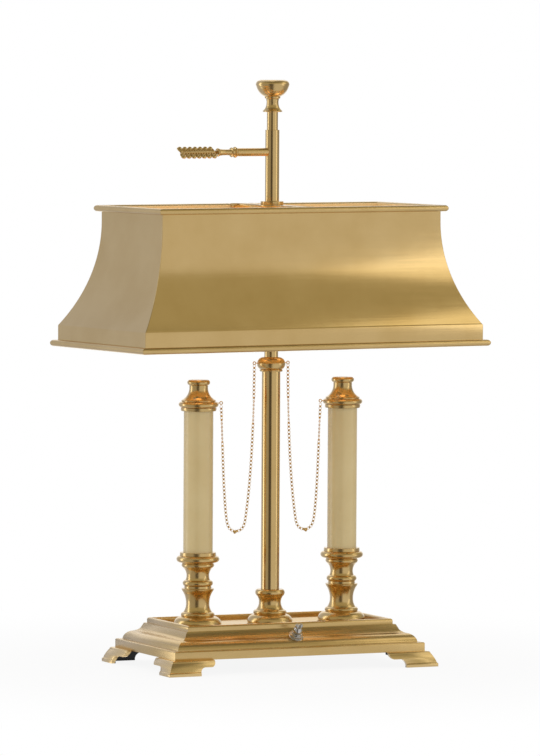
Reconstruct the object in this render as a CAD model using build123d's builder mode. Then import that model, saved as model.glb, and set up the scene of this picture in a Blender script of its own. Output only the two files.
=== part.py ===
from build123d import *
from math import cos, radians, sin, sqrt, tan
import os

# A bouillotte lamp: a brass tray base on bracket feet, a column with two candles beside it, and an oblong
# mitred shade that slides and turns on the rod above. +Z is up and the floor is Z = 0. The column stands on
# the Z axis, the base is long in X, and the switch is on the front, which is -Y. Sizes are in millimetres.

os.makedirs("parts", exist_ok=True)

# ---------------------------------------------------------------- sizes: fits and stock
running_fit = 0.05  # radial clearance of a piece that turns or slides in a bore
assembly_gap = 0.1  # radial clearance round a rod, pipe or screw that passes through a piece
standoff = 0.3  # gap left between faces of two pieces that move apart
quarter_round = 1 - cos(radians(45))  # how far a quarter circle bows from its chord, for a radius of 1

# ---------------------------------------------------------------- sizes: base
rail_half_length = 123.8  # middle of the raised rail round the tray
rail_half_width = 55.2
rail_radius = 2.6
tray_depth = 5.7  # tray floor below the top of the rail
casting_wall, band_wall = 4.0, 4.8
foot_height = 16.8
band_height = 8.4  # upright face of the plinth band
band_rounding = 1.6
band_out = 29.9  # outwards from the middle of the rail
ledge_width = 4.6
ovolo_run, ovolo_rise, ovolo_bulge = 7.8, 9.4, 1.9
cove_run, cove_rise, cove_bulge = 7.7, 3.8, 0.7
fascia_run, fascia_rise = 3.0, 6.0
rail_neck = 3.6  # upright stretch between the fascia and the round of the rail
foot_step = 3.4  # the foot stands this far out from the band at its top
foot_splay = 8.2  # and this much further out at the floor
foot_wall = 4.8  # the bracket is a thin casting, hollow behind its splayed face
foot_flange, foot_flange_in = 3.0, 5.4  # its top flange: thickness, and inner edge inwards from the band's face
toe_front, toe_side = 38.9, 29.0  # length of the foot along the floor
bracket_front, bracket_side = 58.0, 56.0  # length of the foot where it meets the band
scroll_height = 9.4  # underside of the scroll above the floor
scroll_toe = 3.2  # upright edge at the end of the toe
base_plate_thickness = 1.5
base_plate_clearance = 0.2
plate_screw_x, plate_screw_y = 112.0, 48.0
plate_screw_radius, plate_screw_head_radius, plate_screw_head = 1.6, 3.4, 1.8
plate_screw_length = 12.0
boss_radius = 4.5
bushing_hole_radius, bushing_bore_radius = 3.2, 2.4
bushing_flange_radius, bushing_flange = 3.8, 1.2
bushing_tail = 2.0

# ---------------------------------------------------------------- sizes: column
pipe_radius, pipe_bore = 5.0, 3.5
pipe_below_nut = 3.0
pipe_in_cluster = 8.0
column_radius, column_wall, column_length = 10.5, 1.5, 246.5
stem_radius, stem_wall, stem_length = 7.85, 1.3, 48.5
nut_across, nut_height = 16.0, 5.0
washer_radius, washer_height = 11.0, 2.0
rod_radius = 6.3
rod_seat_depth = 22.0  # of the rod in the cluster body
rod_length = 196.0
finial_seat_depth = 10.0

# ---------------------------------------------------------------- sizes: lights
cluster_radius, cluster_height = 18.0, 34.0
cluster_neck_radius, cluster_neck_height = 11.0, 30.0
socket_tilt = 30.0  # degrees above level
socket_start, socket_length = 12.0, 46.0  # along the socket's own axis
socket_radius, socket_wall = 17.0, 1.2
socket_dome, socket_floor = 7.0, 1.5  # rounded foot of the shell, and its floor above that
socket_neck_radius, socket_neck_length = 8.0, 10.0
bulb_base_radius, bulb_base_length = 13.0, 27.0
bulb_radius, bulb_length, bulb_glass = 25.0, 76.0, 0.9

# ---------------------------------------------------------------- sizes: candles
candle_spacing = 89.2  # from the column's axis
candle_radius, candle_bore, candle_length = 16.65, 14.2, 173.4
candle_in_cup = 8.0
candle_top_disc = 3.0
candle_in_cap = 6.0
stud_radius = 3.0
stud_nut_across, stud_nut_height = 10.0, 4.0
stud_washer_radius, stud_washer_height = 7.0, 1.2
stud_below_nut = 2.0

# ---------------------------------------------------------------- sizes: chains
eye_ring_radius, eye_wire_radius = 1.65, 0.5
collar_eye_lift, cap_eye_lift = 9.6, 8.2  # above the foot of the collar and of the cap
collar_eye_reach, collar_eye_foot = 20.8, 13.5  # ring centre and shank end, from the column's axis
cap_eye_reach, cap_eye_foot = 27.7, 19.9  # and from the candle's axis
chain_radius = 1.85
connector_radius, connector_length, connector_lift = 2.7, 8.0, 0.3

# ---------------------------------------------------------------- sizes: shade
shade_swivel = 6.5  # degrees that the shade stands turned from the base, anticlockwise from above
shade_half_length, shade_half_width = 181.6, 68.8  # outer face of the sheet at the top
sheet = 1.2
shade_collar_height = 16.5  # upright strip under the top edge
flare_at_ends, flare_at_sides = 38.6, 30.4  # how far each short end, and each long side, flares out
flare_height = 117.2
shade_band_height = 20.2
bead_radius = 3.6
bead_seat = 3.1  # bead centre from the sheet
top_bead_drop = 2.0  # bead centre below the sheet's top edge
sheet_below_strap = 1.9  # top edge of the sheet below the top of the strap
strap_width, strap_thickness = 14.0, 2.5
tab_width, tab_drop = 28.0, 12.0
hub_radius = 15.0
sleeve_radius, sleeve_above_flange, sleeve_below_nut = 8.0, 80.4, 6.0
flange_radius, flange_height = 13.0, 4.0
shade_nut_across, shade_nut_height = 24.0, 6.0
slide_down = 45.0  # from the sleeve's rest place to the top of the cluster body

# ---------------------------------------------------------------- sizes: key
key_above_flange = 55.4
key_shank_radius = 2.5
key_arm_radius, key_arm_reach = 4.6, 47.0
key_collar_radius, key_collar_length = 6.25, 7.6
key_neck_length = 17.4
vane_length, vane_half_width, vane_thickness = 46.0, 5.6, 3.0
vane_tilt = 45.0  # degrees, near edge down
barb_radius, barb_pitch, barb_count = 3.4, 6.6, 7
tip_barb_radius = 2.8
rachis_radius = 2.0

# ---------------------------------------------------------------- sizes: switch
switch_tilt = 56.0  # degrees above level
switch_out, switch_up = 15.3, 10.1  # seat: outwards from the rail, above the plinth band
seat_radius = 8.7
ring_radius, ring_height = 8.3, 1.6
switch_nut_across, switch_nut_height = 13.0, 3.0
switch_neck_radius, switch_neck_top, switch_neck_bottom = 5.0, 6.0, 6.5
switch_body_radius, switch_body_length = 7.5, 9.5
shaft_radius, shaft_depth = 2.2, 6.0
knob_gap = 0.4

# ---------------------------------------------------------------- heights that follow
band_top = foot_height + band_height + band_rounding
moulding_top = band_top + ovolo_rise + cove_rise + fascia_rise
rail_top = moulding_top + rail_neck + rail_radius
clear_reach = rail_half_length + band_out + foot_step + foot_splay + 5.0  # past everything in the base
tray_floor = rail_top - tray_depth
tray_underside = tray_floor - casting_wall

# Turned outlines: each step is (radius at its end, rise, bulge), where a bulge above 0 swells outwards. The
# edges are the radii at which they start.
column_foot_edge, candle_cup_edge = 24.8, 25.8
collar_edge, cap_edge = 12.6, 19.7
cluster_edge, finial_edge = 16.0, 10.5
key_collar_edge = 5.2
column_foot_turning = [
    (25.6, 2.6, 0.3),
    (17.8, 7.7, 1.9),
    (16.8, 4.6, 1.6),
    (16.0, 0.4, 0.0),
    (14.8, 15.6, -2.9),
    (15.0, 7.5, 1.9),
]
candle_cup_turning = [
    (26.8, 3.4, 0.4),
    (18.0, 7.2, 2.0),
    (17.0, 4.6, 1.5),
    (16.2, 0.4, 0.0),
    (13.2, 9.3, -0.8),
    (17.9, 15.2, -1.3),
    (18.4, 1.9, 0.0),
    (15.4, 0.5, 0.0),
    (15.2, 2.5, 0.0),
    (15.0, 6.2, 2.0),
    (13.9, 0.4, 0.0),
    (17.2, 14.4, -2.5),
    (17.4, 4.7, 1.1),
    (20.3, 0.9, 0.0),
    (20.0, 7.2, 4.1),
    (20.5, 0.4, 0.0),
    (20.3, 3.6, 0.0),
]
collar_turning = [
    (12.85, 2.0, 0.3),
    (12.2, 0.2, 0.0),
    (8.6, 13.9, 5.6),
]
cap_turning = [
    (20.0, 3.6, 0.3),
    (19.2, 0.4, 0.0),
    (19.0, 6.2, 3.4),
    (18.9, 0.3, 0.0),
    (18.3, 2.0, 0.8),
    (10.6, 14.7, -2.4),
    (10.6, 1.6, 0.0),
    (10.8, 6.0, 2.2),
]
cluster_turning = [
    (17.0, 1.0, 0.0),
    (cluster_radius, 1.0, 0.0),
    (cluster_radius, cluster_height - 8.0, 0.0),
    (cluster_neck_radius, 6.0, -1.2),
    (cluster_neck_radius, cluster_neck_height - 3.0, 0.0),
    (cluster_neck_radius - 0.4, 3.0, 1.0),
]
finial_turning = [
    (10.9, 1.5, 0.4),
    (7.25, 9.1, -1.3),
    (8.6, 4.4, -0.3),
    (18.4, 12.8, -0.6),
    (15.6, 7.8, 2.2),
    (15.2, 0.4, 0.0),
]
key_turning = [
    (key_collar_radius, 0.6, 0.0),
    (key_collar_radius, key_collar_length - 1.2, 0.7),
    (key_collar_edge, 0.6, 0.0),
    (3.8, key_neck_length * 0.62, -0.4),
    (4.4, key_neck_length * 0.38, 0.6),
]
knob_turning = [
    (4.6, 0.8, 0.0),
    (4.6, 4.6, 0.5),
    (3.5, 1.4, 0.0),
    (3.5, 0.8, 0.0),
    (5.0, 3.0, -0.5),
    (5.2, 2.2, 0.4),
]


def rise_of(turning):
    return sum(step[1] for step in turning)


column_bottom = tray_floor + rise_of(column_foot_turning)
column_top = column_bottom + column_length
stem_bottom = column_top + rise_of(collar_turning)
cluster_bottom = stem_bottom + stem_length
cluster_top = cluster_bottom + cluster_height + cluster_neck_height
socket_height = cluster_bottom + cluster_height / 2
rod_bottom = cluster_top - rod_seat_depth
finial_bottom = rod_bottom + rod_length - finial_seat_depth
sleeve_bottom = cluster_top + slide_down
nut_bottom = sleeve_bottom + sleeve_below_nut
strap_bottom = nut_bottom + shade_nut_height
strap_top = strap_bottom + strap_thickness
flange_top = strap_top + flange_height
sleeve_top = flange_top + sleeve_above_flange
sheet_top = strap_top - sheet_below_strap
flare_top = sheet_top - shade_collar_height
band_joint = flare_top - flare_height
sheet_bottom = band_joint - shade_band_height
cup_top = tray_floor + rise_of(candle_cup_turning)
candle_bottom = cup_top - candle_in_cup
candle_top = candle_bottom + candle_length
cap_bottom = candle_top - candle_in_cap
cap_eye_height = cap_bottom + cap_eye_lift
collar_eye_height = column_top + collar_eye_lift
key_height = flange_top + key_above_flange
column_nut_top = tray_underside - washer_height
stud_nut_top = tray_underside - stud_washer_height


# ---------------------------------------------------------------- helpers
def write(piece, label):
    """Names a finished piece and writes its STEP file."""
    shape = piece.part
    shape.label = label
    export_step(shape, f"parts/{label}.step")


def upright_plane(x=0.0, y=0.0, turn=0.0):
    """A plane that holds +Z as its own Y and points its own X away from the axis, turned in degrees."""
    c, s = cos(radians(turn)), sin(radians(turn))
    return Plane(origin=(x, y, 0), x_dir=(c, s, 0), z_dir=(s, -c, 0))


def outline(start, steps):
    """Draws the steps of a turned outline upwards from start, a (radius, height), and returns its end."""
    here = start
    for radius, rise, bulge in steps:
        there = (radius, here[1] + rise)
        if bulge:
            SagittaArc(here, there, -bulge)
        else:
            Line(here, there)
        here = there
    return here


def turned(label, plane, start, steps, bore=0.0, export=True):
    """Revolves an outline about the plane's own Y axis, with a plain bore through it."""
    with BuildPart() as piece:
        with BuildSketch(plane):
            with BuildLine():
                Line((bore, start[1]), start)
                end = outline(start, steps)
                if end[0] != bore:
                    Line(end, (bore, end[1]))
                Line((bore, end[1]), (bore, start[1]))
            make_face()
        revolve(axis=Axis(plane.origin, plane.y_dir))
    if export:
        write(piece, label)
    return piece


def tube(label, plane, radius, bore, bottom, top, export=True):
    """A plain tube or, with no bore, a rod, along the plane's own Y axis."""
    return turned(label, plane, (radius, bottom), [(radius, top - bottom, 0.0)], bore, export)


def hexagon(across):
    """A hexagon with the given distance across its flats."""
    return RegularPolygon(across / 2, 6, major_radius=False)


column_plane = upright_plane()

# ---------------------------------------------------------------- base casting
# The moulding from the plinth band up to the rail, as (outwards from the middle of the rail, height, bulge).
ledge_in = band_out - band_rounding - ledge_width
moulding = [
    (band_out, foot_height + band_height, 0.0),
    (band_out - band_rounding, band_top, band_rounding * quarter_round),
    (ledge_in, band_top, 0.0),
    (ledge_in - ovolo_run, band_top + ovolo_rise, ovolo_bulge),
    (ledge_in - ovolo_run - cove_run, band_top + ovolo_rise + cove_rise, -cove_bulge),
    (ledge_in - ovolo_run - cove_run - fascia_run, moulding_top, 0.0),
    (rail_radius, moulding_top, 0.0),
    (rail_radius, moulding_top + rail_neck, 0.0),
    (0.0, rail_top, rail_radius * quarter_round),
]
hollow = [
    (band_out - band_wall, foot_height + 6.0, 0.0),
    (ledge_in - 3.4, band_top - 0.8, 0.0),
    (ledge_in - ovolo_run - 4.0, band_top + ovolo_rise - 1.0, 0.0),
    (rail_radius + 1.0, tray_underside, 0.0),
]


def moulded_prisms(first, steps):
    """Two long prisms, along Y and along X, that cross in a block with one moulding round its four sides."""
    prisms = []
    for half, plane in ((rail_half_length, Plane.XZ), (rail_half_width, Plane.YZ)):
        with BuildPart() as prism:
            with BuildSketch(plane):
                with BuildLine():
                    here = (half + first[0], first[1])
                    Line((0, first[1]), here)
                    for out, height, bulge in steps:
                        there = (half + out, height)
                        if bulge:
                            SagittaArc(here, there, -bulge)
                        else:
                            Line(here, there)
                        here = there
                    Line(here, (0, here[1]))
                    Line((0, here[1]), (0, first[1]))
                make_face()
                mirror(about=Plane.YZ)
            extrude(amount=clear_reach, both=True)
        prisms.append(prism.part)
    return prisms


outside = moulded_prisms((band_out, foot_height), moulding)
inside = moulded_prisms((band_out - band_wall, foot_height), hollow)
with BuildPart() as hollow_block:
    add(inside[0])
    add(inside[1], mode=Mode.INTERSECT)

seat_point = (0.0, -(rail_half_width + switch_out), band_top + switch_up)
switch_axis = Vector(0.0, -cos(radians(switch_tilt)), sin(radians(switch_tilt)))
switch_plane = Plane(origin=seat_point, x_dir=(1, 0, 0), z_dir=switch_axis)
bushing_height = foot_height + base_plate_thickness + bushing_hole_radius + base_plate_clearance
band_rear = rail_half_width + band_out
screw_places = GridLocations(2 * plate_screw_x, 2 * plate_screw_y, 2, 2)
candle_places = [(-candle_spacing, 0), (candle_spacing, 0)]
plate_top = foot_height + base_plate_thickness

with BuildPart() as base_casting:
    add(outside[0])
    add(outside[1], mode=Mode.INTERSECT)
    add(hollow_block.part, mode=Mode.SUBTRACT)
    with BuildSketch(Plane.XY.offset(tray_floor)):
        Rectangle(2 * (rail_half_length - rail_radius), 2 * (rail_half_width - rail_radius))
    extrude(amount=tray_depth, mode=Mode.SUBTRACT)
    with BuildSketch(Plane.XY.offset(plate_top)):
        with screw_places:
            Circle(boss_radius)
    extrude(until=Until.NEXT)
    with BuildSketch(Plane.XY.offset(plate_top)):
        with screw_places:
            Circle(plate_screw_radius)
    extrude(amount=plate_screw_length, mode=Mode.SUBTRACT)
    with BuildSketch(Plane.XY.offset(tray_underside)):
        Circle(pipe_radius + assembly_gap)
        with Locations(*candle_places):
            Circle(stud_radius + assembly_gap)
    extrude(amount=casting_wall, mode=Mode.SUBTRACT)
    with BuildSketch(switch_plane):
        Circle(seat_radius)
    extrude(amount=seat_radius, mode=Mode.SUBTRACT)
    with BuildSketch(switch_plane):
        Circle(switch_neck_radius + assembly_gap)
    extrude(amount=-2 * switch_neck_bottom, mode=Mode.SUBTRACT)
    with BuildSketch(Plane.XZ.offset(-band_rear)):
        with Locations((0, bushing_height)):
            Circle(bushing_hole_radius)
    extrude(amount=2 * casting_wall, mode=Mode.SUBTRACT)
    inner_length, inner_width = rail_half_length - rail_radius, rail_half_width - rail_radius
    rail_edges = base_casting.edges().filter_by(GeomType.LINE).group_by(Axis.Z)[-1]
    inner_edges = rail_edges.filter_by_position(Axis.X, -inner_length - 0.01, inner_length + 0.01)
    inner_edges = inner_edges.filter_by_position(Axis.Y, -inner_width - 0.01, inner_width + 0.01)
    fillet(inner_edges, radius=rail_radius * 0.9)
write(base_casting, "base_casting")

plate_out = band_out - band_wall - base_plate_clearance
with BuildPart() as base_plate:
    with BuildSketch(Plane.XY.offset(foot_height)):
        Rectangle(2 * (rail_half_length + plate_out), 2 * (rail_half_width + plate_out))
        with screw_places:
            Circle(plate_screw_radius + assembly_gap, mode=Mode.SUBTRACT)
    extrude(amount=base_plate_thickness)
write(base_plate, "base_plate")

with BuildPart() as base_plate_screws:
    with BuildSketch(Plane.XY.offset(foot_height - plate_screw_head)):
        with screw_places:
            Circle(plate_screw_head_radius)
    extrude(amount=plate_screw_head)
    with BuildSketch(Plane.XY.offset(foot_height)):
        with screw_places:
            Circle(plate_screw_radius)
    extrude(amount=base_plate_thickness + plate_screw_length - 1.0)
write(base_plate_screws, "base_plate_screws")

with BuildPart() as cord_bushing:
    with BuildSketch(Plane.XZ.offset(-band_rear)):
        with Locations((0, bushing_height)):
            Circle(bushing_flange_radius)
    extrude(amount=-bushing_flange)
    with BuildSketch(Plane.XZ.offset(-band_rear)):
        with Locations((0, bushing_height)):
            Circle(bushing_hole_radius)
    extrude(amount=casting_wall + bushing_tail)
    with BuildSketch(Plane.XZ.offset(-band_rear - bushing_flange)):
        with Locations((0, bushing_height)):
            Circle(bushing_bore_radius)
    extrude(amount=bushing_flange + casting_wall + bushing_tail, mode=Mode.SUBTRACT)
write(cord_bushing, "cord_bushing")

# ---------------------------------------------------------------- bracket feet
# One hollow ring with a splayed face is cut by a scrolled gap from each side, which leaves the four corner
# brackets. Each keeps a flange along its top, which is fixed to the underside of the plinth band.
foot_out = band_out + foot_step
splay = [
    (foot_out + foot_splay, 2.4, 0.0),
    (foot_out + foot_splay - 1.2, 4.4, 0.35),
    (foot_out + 1.6, foot_height - 2.0, 0.5),
    (foot_out, foot_height, 0.3),
]
inner_splay = [
    (foot_out + foot_splay - foot_wall, 2.4, 0.0),
    (foot_out + 1.6 - foot_wall, foot_height - foot_flange, 0.0),
]
foot_prisms = moulded_prisms((foot_out + foot_splay, 0.0), splay)
foot_cores = moulded_prisms((foot_out + foot_splay - foot_wall, 0.0), inner_splay)
with BuildPart() as foot_core:
    add(foot_cores[0])
    add(foot_cores[1], mode=Mode.INTERSECT)


def scroll_gap(plane, half, toe, bracket):
    """The gap between two feet along one side, scrolled at both ends, cut right across the base."""
    end = half + foot_out + foot_splay
    toe_end = end - toe
    shoulder = end - bracket
    cove = scroll_height - scroll_toe
    lip = foot_height - scroll_height
    with BuildPart() as gap:
        with BuildSketch(plane):
            with BuildLine():
                Line((0, 0), (toe_end, 0))
                Line((toe_end, 0), (toe_end, scroll_toe))
                SagittaArc((toe_end, scroll_toe), (toe_end - cove, scroll_height), -cove * quarter_round)
                Line((toe_end - cove, scroll_height), (shoulder + lip * 0.6, scroll_height))
                SagittaArc((shoulder + lip * 0.6, scroll_height), (shoulder, foot_height), lip * 0.22)
                Line((shoulder, foot_height), (0, foot_height))
                Line((0, foot_height), (0, 0))
            make_face()
            mirror(about=Plane.YZ)
        extrude(amount=clear_reach, both=True)
    return gap.part


gap_along = scroll_gap(Plane.XZ, rail_half_length, toe_front, bracket_front)
gap_across = scroll_gap(Plane.YZ, rail_half_width, toe_side, bracket_side)
flange_in = band_out - foot_flange_in
with BuildPart() as foot_ring:
    add(foot_prisms[0])
    add(foot_prisms[1], mode=Mode.INTERSECT)
    add(foot_core.part, mode=Mode.SUBTRACT)
    with BuildSketch(Plane.XY):
        Rectangle(2 * (rail_half_length + flange_in), 2 * (rail_half_width + flange_in))
    extrude(amount=foot_height, mode=Mode.SUBTRACT)
    add(gap_along, mode=Mode.SUBTRACT)
    add(gap_across, mode=Mode.SUBTRACT)

foot_corners = {
    "foot_front_left": (-1, -1),
    "foot_front_right": (1, -1),
    "foot_rear_left": (-1, 1),
    "foot_rear_right": (1, 1),
}
for foot_name, (side_x, side_y) in foot_corners.items():
    with BuildPart() as foot:
        for corner in foot_ring.solids():
            if corner.center().X * side_x > 0 and corner.center().Y * side_y > 0:
                add(corner)
    write(foot, foot_name)

# ---------------------------------------------------------------- column
pipe_bottom = column_nut_top - nut_height - pipe_below_nut
pipe_hole = pipe_radius + assembly_gap
tube("centre_pipe", column_plane, pipe_radius, pipe_bore, pipe_bottom, cluster_bottom + pipe_in_cluster)
turned("column_foot", column_plane, (column_foot_edge, tray_floor), column_foot_turning, pipe_hole)
tube("column_tube", column_plane, column_radius, column_radius - column_wall, column_bottom, column_top)
tube("stem_tube", column_plane, stem_radius, stem_radius - stem_wall, stem_bottom, cluster_bottom)

with BuildPart() as centre_nut:
    with BuildSketch(Plane.XY.offset(column_nut_top - nut_height)):
        hexagon(nut_across)
        Circle(pipe_radius, mode=Mode.SUBTRACT)
    extrude(amount=nut_height)
write(centre_nut, "centre_nut")

# ---------------------------------------------------------------- screw eyes, in the collar and in the caps


def screw_eye(label, x, height, side, shank_end):
    """A ring in the X-Z plane with a shank that points to the side, -1 or 1, as far as shank_end."""
    start = x + side * eye_ring_radius
    with BuildPart() as eye:
        with Locations((x, 0, height)):
            Torus(eye_ring_radius, eye_wire_radius, rotation=(90, 0, 0))
        with BuildSketch(Plane(origin=(start, 0, height), x_dir=(0, 1, 0), z_dir=(side, 0, 0))):
            Circle(eye_wire_radius)
        extrude(amount=abs(shank_end - start))
    write(eye, label)
    return eye


collar_eyes = [
    screw_eye("collar_eye_left", -collar_eye_reach, collar_eye_height, 1, -collar_eye_foot),
    screw_eye("collar_eye_right", collar_eye_reach, collar_eye_height, -1, collar_eye_foot),
]
with BuildPart() as collar:
    add(turned("collar", column_plane, (collar_edge, column_top), collar_turning, pipe_hole, False))
    for eye in collar_eyes:
        add(eye.part, mode=Mode.SUBTRACT)
write(collar, "collar")

# ---------------------------------------------------------------- cluster body, rod and finial


def light_plane(side):
    """A plane whose own Y axis is the axis of the left (-1) or the right (1) light."""
    axis = Vector(side * cos(radians(socket_tilt)), 0, sin(radians(socket_tilt)))
    return Plane(origin=(0, 0, socket_height), x_dir=(0, 1, 0), z_dir=Vector(0, 1, 0).cross(axis))


light_planes = {"left": light_plane(-1), "right": light_plane(1)}
socket_foot = socket_start + socket_neck_length
socket_mouth = socket_foot + socket_length

with BuildPart() as cluster_body:
    add(turned("cluster_body", column_plane, (cluster_edge, cluster_bottom), cluster_turning, 0.0, False))
    with BuildSketch(Plane.XY.offset(cluster_bottom)):
        Circle(pipe_radius)
    extrude(amount=pipe_in_cluster, mode=Mode.SUBTRACT)
    with BuildSketch(Plane.XY.offset(cluster_top)):
        Circle(rod_radius + running_fit)
    extrude(amount=-rod_seat_depth - running_fit, mode=Mode.SUBTRACT)
    for plane in light_planes.values():
        with BuildSketch(Plane(plane.origin, x_dir=(0, 1, 0), z_dir=plane.y_dir).offset(socket_start)):
            Circle(socket_neck_radius)
        extrude(amount=cluster_radius, mode=Mode.SUBTRACT)
write(cluster_body, "cluster_body")

with BuildPart() as upper_rod:
    with BuildSketch(Plane.XY.offset(rod_bottom)):
        Circle(rod_radius)
    extrude(amount=rod_length)
write(upper_rod, "upper_rod")

with BuildPart() as finial:
    add(turned("finial", column_plane, (finial_edge, finial_bottom), finial_turning, 0.0, False))
    with BuildSketch(Plane.XY.offset(finial_bottom)):
        Circle(rod_radius)
    extrude(amount=finial_seat_depth, mode=Mode.SUBTRACT)
write(finial, "finial")


# ---------------------------------------------------------------- sockets and bulbs
base_foot = socket_foot + socket_dome + socket_floor
base_mouth = base_foot + bulb_base_length
socket_turning = [
    (socket_neck_radius, socket_neck_length, 0.0),
    (socket_radius, socket_dome, 2.4),
    (socket_radius, socket_length - socket_dome, 0.0),
    (socket_radius - socket_wall, 0.0, 0.0),
    (socket_radius - socket_wall, base_foot - socket_mouth, 0.0),
]
bulb_base_turning = [
    (bulb_base_radius * 0.55, 2.0, 0.0),
    (bulb_base_radius, 4.0, 0.0),
    (bulb_base_radius, bulb_base_length - 6.0, 0.0),
]


def bulb_outline(inset):
    """The start and the steps of the glass, on its outside or set in from it by the glass's thickness."""
    neck, belly = bulb_base_radius - 0.6 - inset, bulb_radius - inset
    neck_rise = bulb_length * 0.12
    steps = [
        (neck, neck_rise, 0.0),
        (belly, bulb_length - bulb_radius - neck_rise, 1.6),
        (0.0, belly, belly * (1 - sqrt(0.5))),
    ]
    return (neck, base_mouth), steps


for side, plane in light_planes.items():
    turned(f"socket_{side}", plane, (socket_neck_radius, socket_start), socket_turning)
    turned(f"bulb_base_{side}", plane, (bulb_base_radius * 0.4, base_foot), bulb_base_turning)
    with BuildPart() as bulb:
        add(turned("glass", plane, *bulb_outline(0.0), export=False))
        add(turned("air", plane, *bulb_outline(bulb_glass), export=False), mode=Mode.SUBTRACT)
    write(bulb, f"bulb_{side}")

# ---------------------------------------------------------------- candles
stud_bottom = stud_nut_top - stud_nut_height - stud_below_nut
cup_steps = candle_cup_turning + [
    (candle_radius + assembly_gap, 0.0, 0.0),
    (candle_radius + assembly_gap, -candle_in_cup, 0.0),
]
tube_steps = [
    (candle_radius, candle_length, 0.0),
    (stud_radius, 0.0, 0.0),
    (stud_radius, -candle_top_disc, 0.0),
    (candle_bore, 0.0, 0.0),
]
cap_recess = candle_radius + standoff
for side, x in (("left", -candle_spacing), ("right", candle_spacing)):
    plane = upright_plane(x)
    turned(f"candle_cup_{side}", plane, (candle_cup_edge, tray_floor), cup_steps, stud_radius + assembly_gap)
    turned(f"candle_tube_{side}", plane, (candle_radius, candle_bottom), tube_steps, candle_bore)
    tube(f"candle_stud_{side}", plane, stud_radius, 0.0, stud_bottom, candle_top - candle_top_disc / 3)
    inwards = 1 if x < 0 else -1
    eye_x = x + inwards * cap_eye_reach
    cap_eye = screw_eye(f"cap_eye_{side}", eye_x, cap_eye_height, -inwards, x + inwards * cap_eye_foot)
    with BuildPart() as cap:
        add(turned("cap", plane, (cap_edge, cap_bottom), cap_turning, 0.0, False))
        with BuildSketch(Plane.XY.offset(cap_bottom)):
            with Locations((x, 0)):
                Circle(cap_recess)
        extrude(amount=candle_in_cap, mode=Mode.SUBTRACT)
        add(cap_eye.part, mode=Mode.SUBTRACT)
    write(cap, f"cap_{side}")

with BuildPart() as candle_nuts:
    with BuildSketch(Plane.XY.offset(stud_nut_top - stud_nut_height)):
        with Locations(*candle_places):
            hexagon(stud_nut_across)
            Circle(stud_radius, mode=Mode.SUBTRACT)
    extrude(amount=stud_nut_height)
write(candle_nuts, "candle_nuts")

with BuildPart() as washers:
    with BuildSketch(Plane.XY.offset(tray_underside)):
        Circle(washer_radius)
        Circle(pipe_radius, mode=Mode.SUBTRACT)
    extrude(amount=-washer_height)
    with BuildSketch(Plane.XY.offset(tray_underside)):
        with Locations(*candle_places):
            Circle(stud_washer_radius)
            Circle(stud_radius, mode=Mode.SUBTRACT)
    extrude(amount=-stud_washer_height)
write(washers, "washers")

# ---------------------------------------------------------------- chains
# The route hangs from the collar eye, round its lowest point and up to the cap eye, as (X, Z) to the left.
ring_drop = eye_ring_radius + eye_wire_radius + 0.1
chain_route = [
    (-collar_eye_reach, collar_eye_height - ring_drop),
    (-21.0, 308.0),
    (-22.2, 268.0),
    (-24.4, 226.0),
    (-27.4, 192.0),
    (-30.3, 170.0),
    (-32.1, 158.6),
    (-36.1, 153.1),
    (-42.6, 151.0),
    (-49.1, 153.1),
    (-53.1, 158.6),
    (-55.0, 170.0),
    (-57.0, 192.0),
    (-58.8, 226.0),
    (-60.1, 262.0),
    (cap_eye_reach - candle_spacing, cap_eye_height - ring_drop),
]


def bend_radii(points):
    """As large an arc at each inner point as 0.45 of its shorter run allows."""
    radii = []
    for before, here, after in zip(points, points[1:], points[2:]):
        arriving = Vector(*here) - Vector(*before)
        leaving = Vector(*after) - Vector(*here)
        turn = radians(arriving.get_angle(leaving))
        radii.append(0.45 * min(arriving.length, leaving.length) / tan(turn / 2))
    return radii


for side, mirrored in (("left", 1), ("right", -1)):
    points = [(mirrored * x, z) for x, z in chain_route]
    with BuildPart() as chain:
        with BuildLine(Plane.XZ) as route:
            FilletPolyline(*points, radius=bend_radii(points))
        with BuildSketch(Plane(route.line @ 0, z_dir=route.line % 0)):
            Circle(chain_radius)
        sweep(path=route.line)
    write(chain, f"chain_{side}")
    lowest = min(points, key=lambda point: point[1])
    with BuildPart() as connector:
        connector_end = (lowest[0] - connector_length / 2, 0, lowest[1] + connector_lift)
        with BuildSketch(Plane(origin=connector_end, z_dir=(1, 0, 0))):
            Circle(connector_radius)
        extrude(amount=connector_length)
        chamfer(connector.edges().filter_by(GeomType.CIRCLE), length=0.5)
        add(chain.part, mode=Mode.SUBTRACT)
    write(connector, f"chain_connector_{side}")

# ---------------------------------------------------------------- shade
# Each side is made in a plane turned to face outwards, then cut at its two mitres. Ends and long sides flare by
# different amounts along curves of one kind, so each mitre of the sheet is still one plane through the corner.
shade_sides = {
    "right": (0.0, shade_half_length, shade_half_width, flare_at_ends, flare_at_sides),
    "rear": (90.0, shade_half_width, shade_half_length, flare_at_sides, flare_at_ends),
    "left": (180.0, shade_half_length, shade_half_width, flare_at_ends, flare_at_sides),
    "front": (270.0, shade_half_width, shade_half_length, flare_at_sides, flare_at_ends),
}
side_run = shade_half_length + flare_at_ends + 4 * bead_radius  # past both mitres of any side


def shade_plane(turn):
    return upright_plane(turn=shade_swivel + turn)


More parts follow.
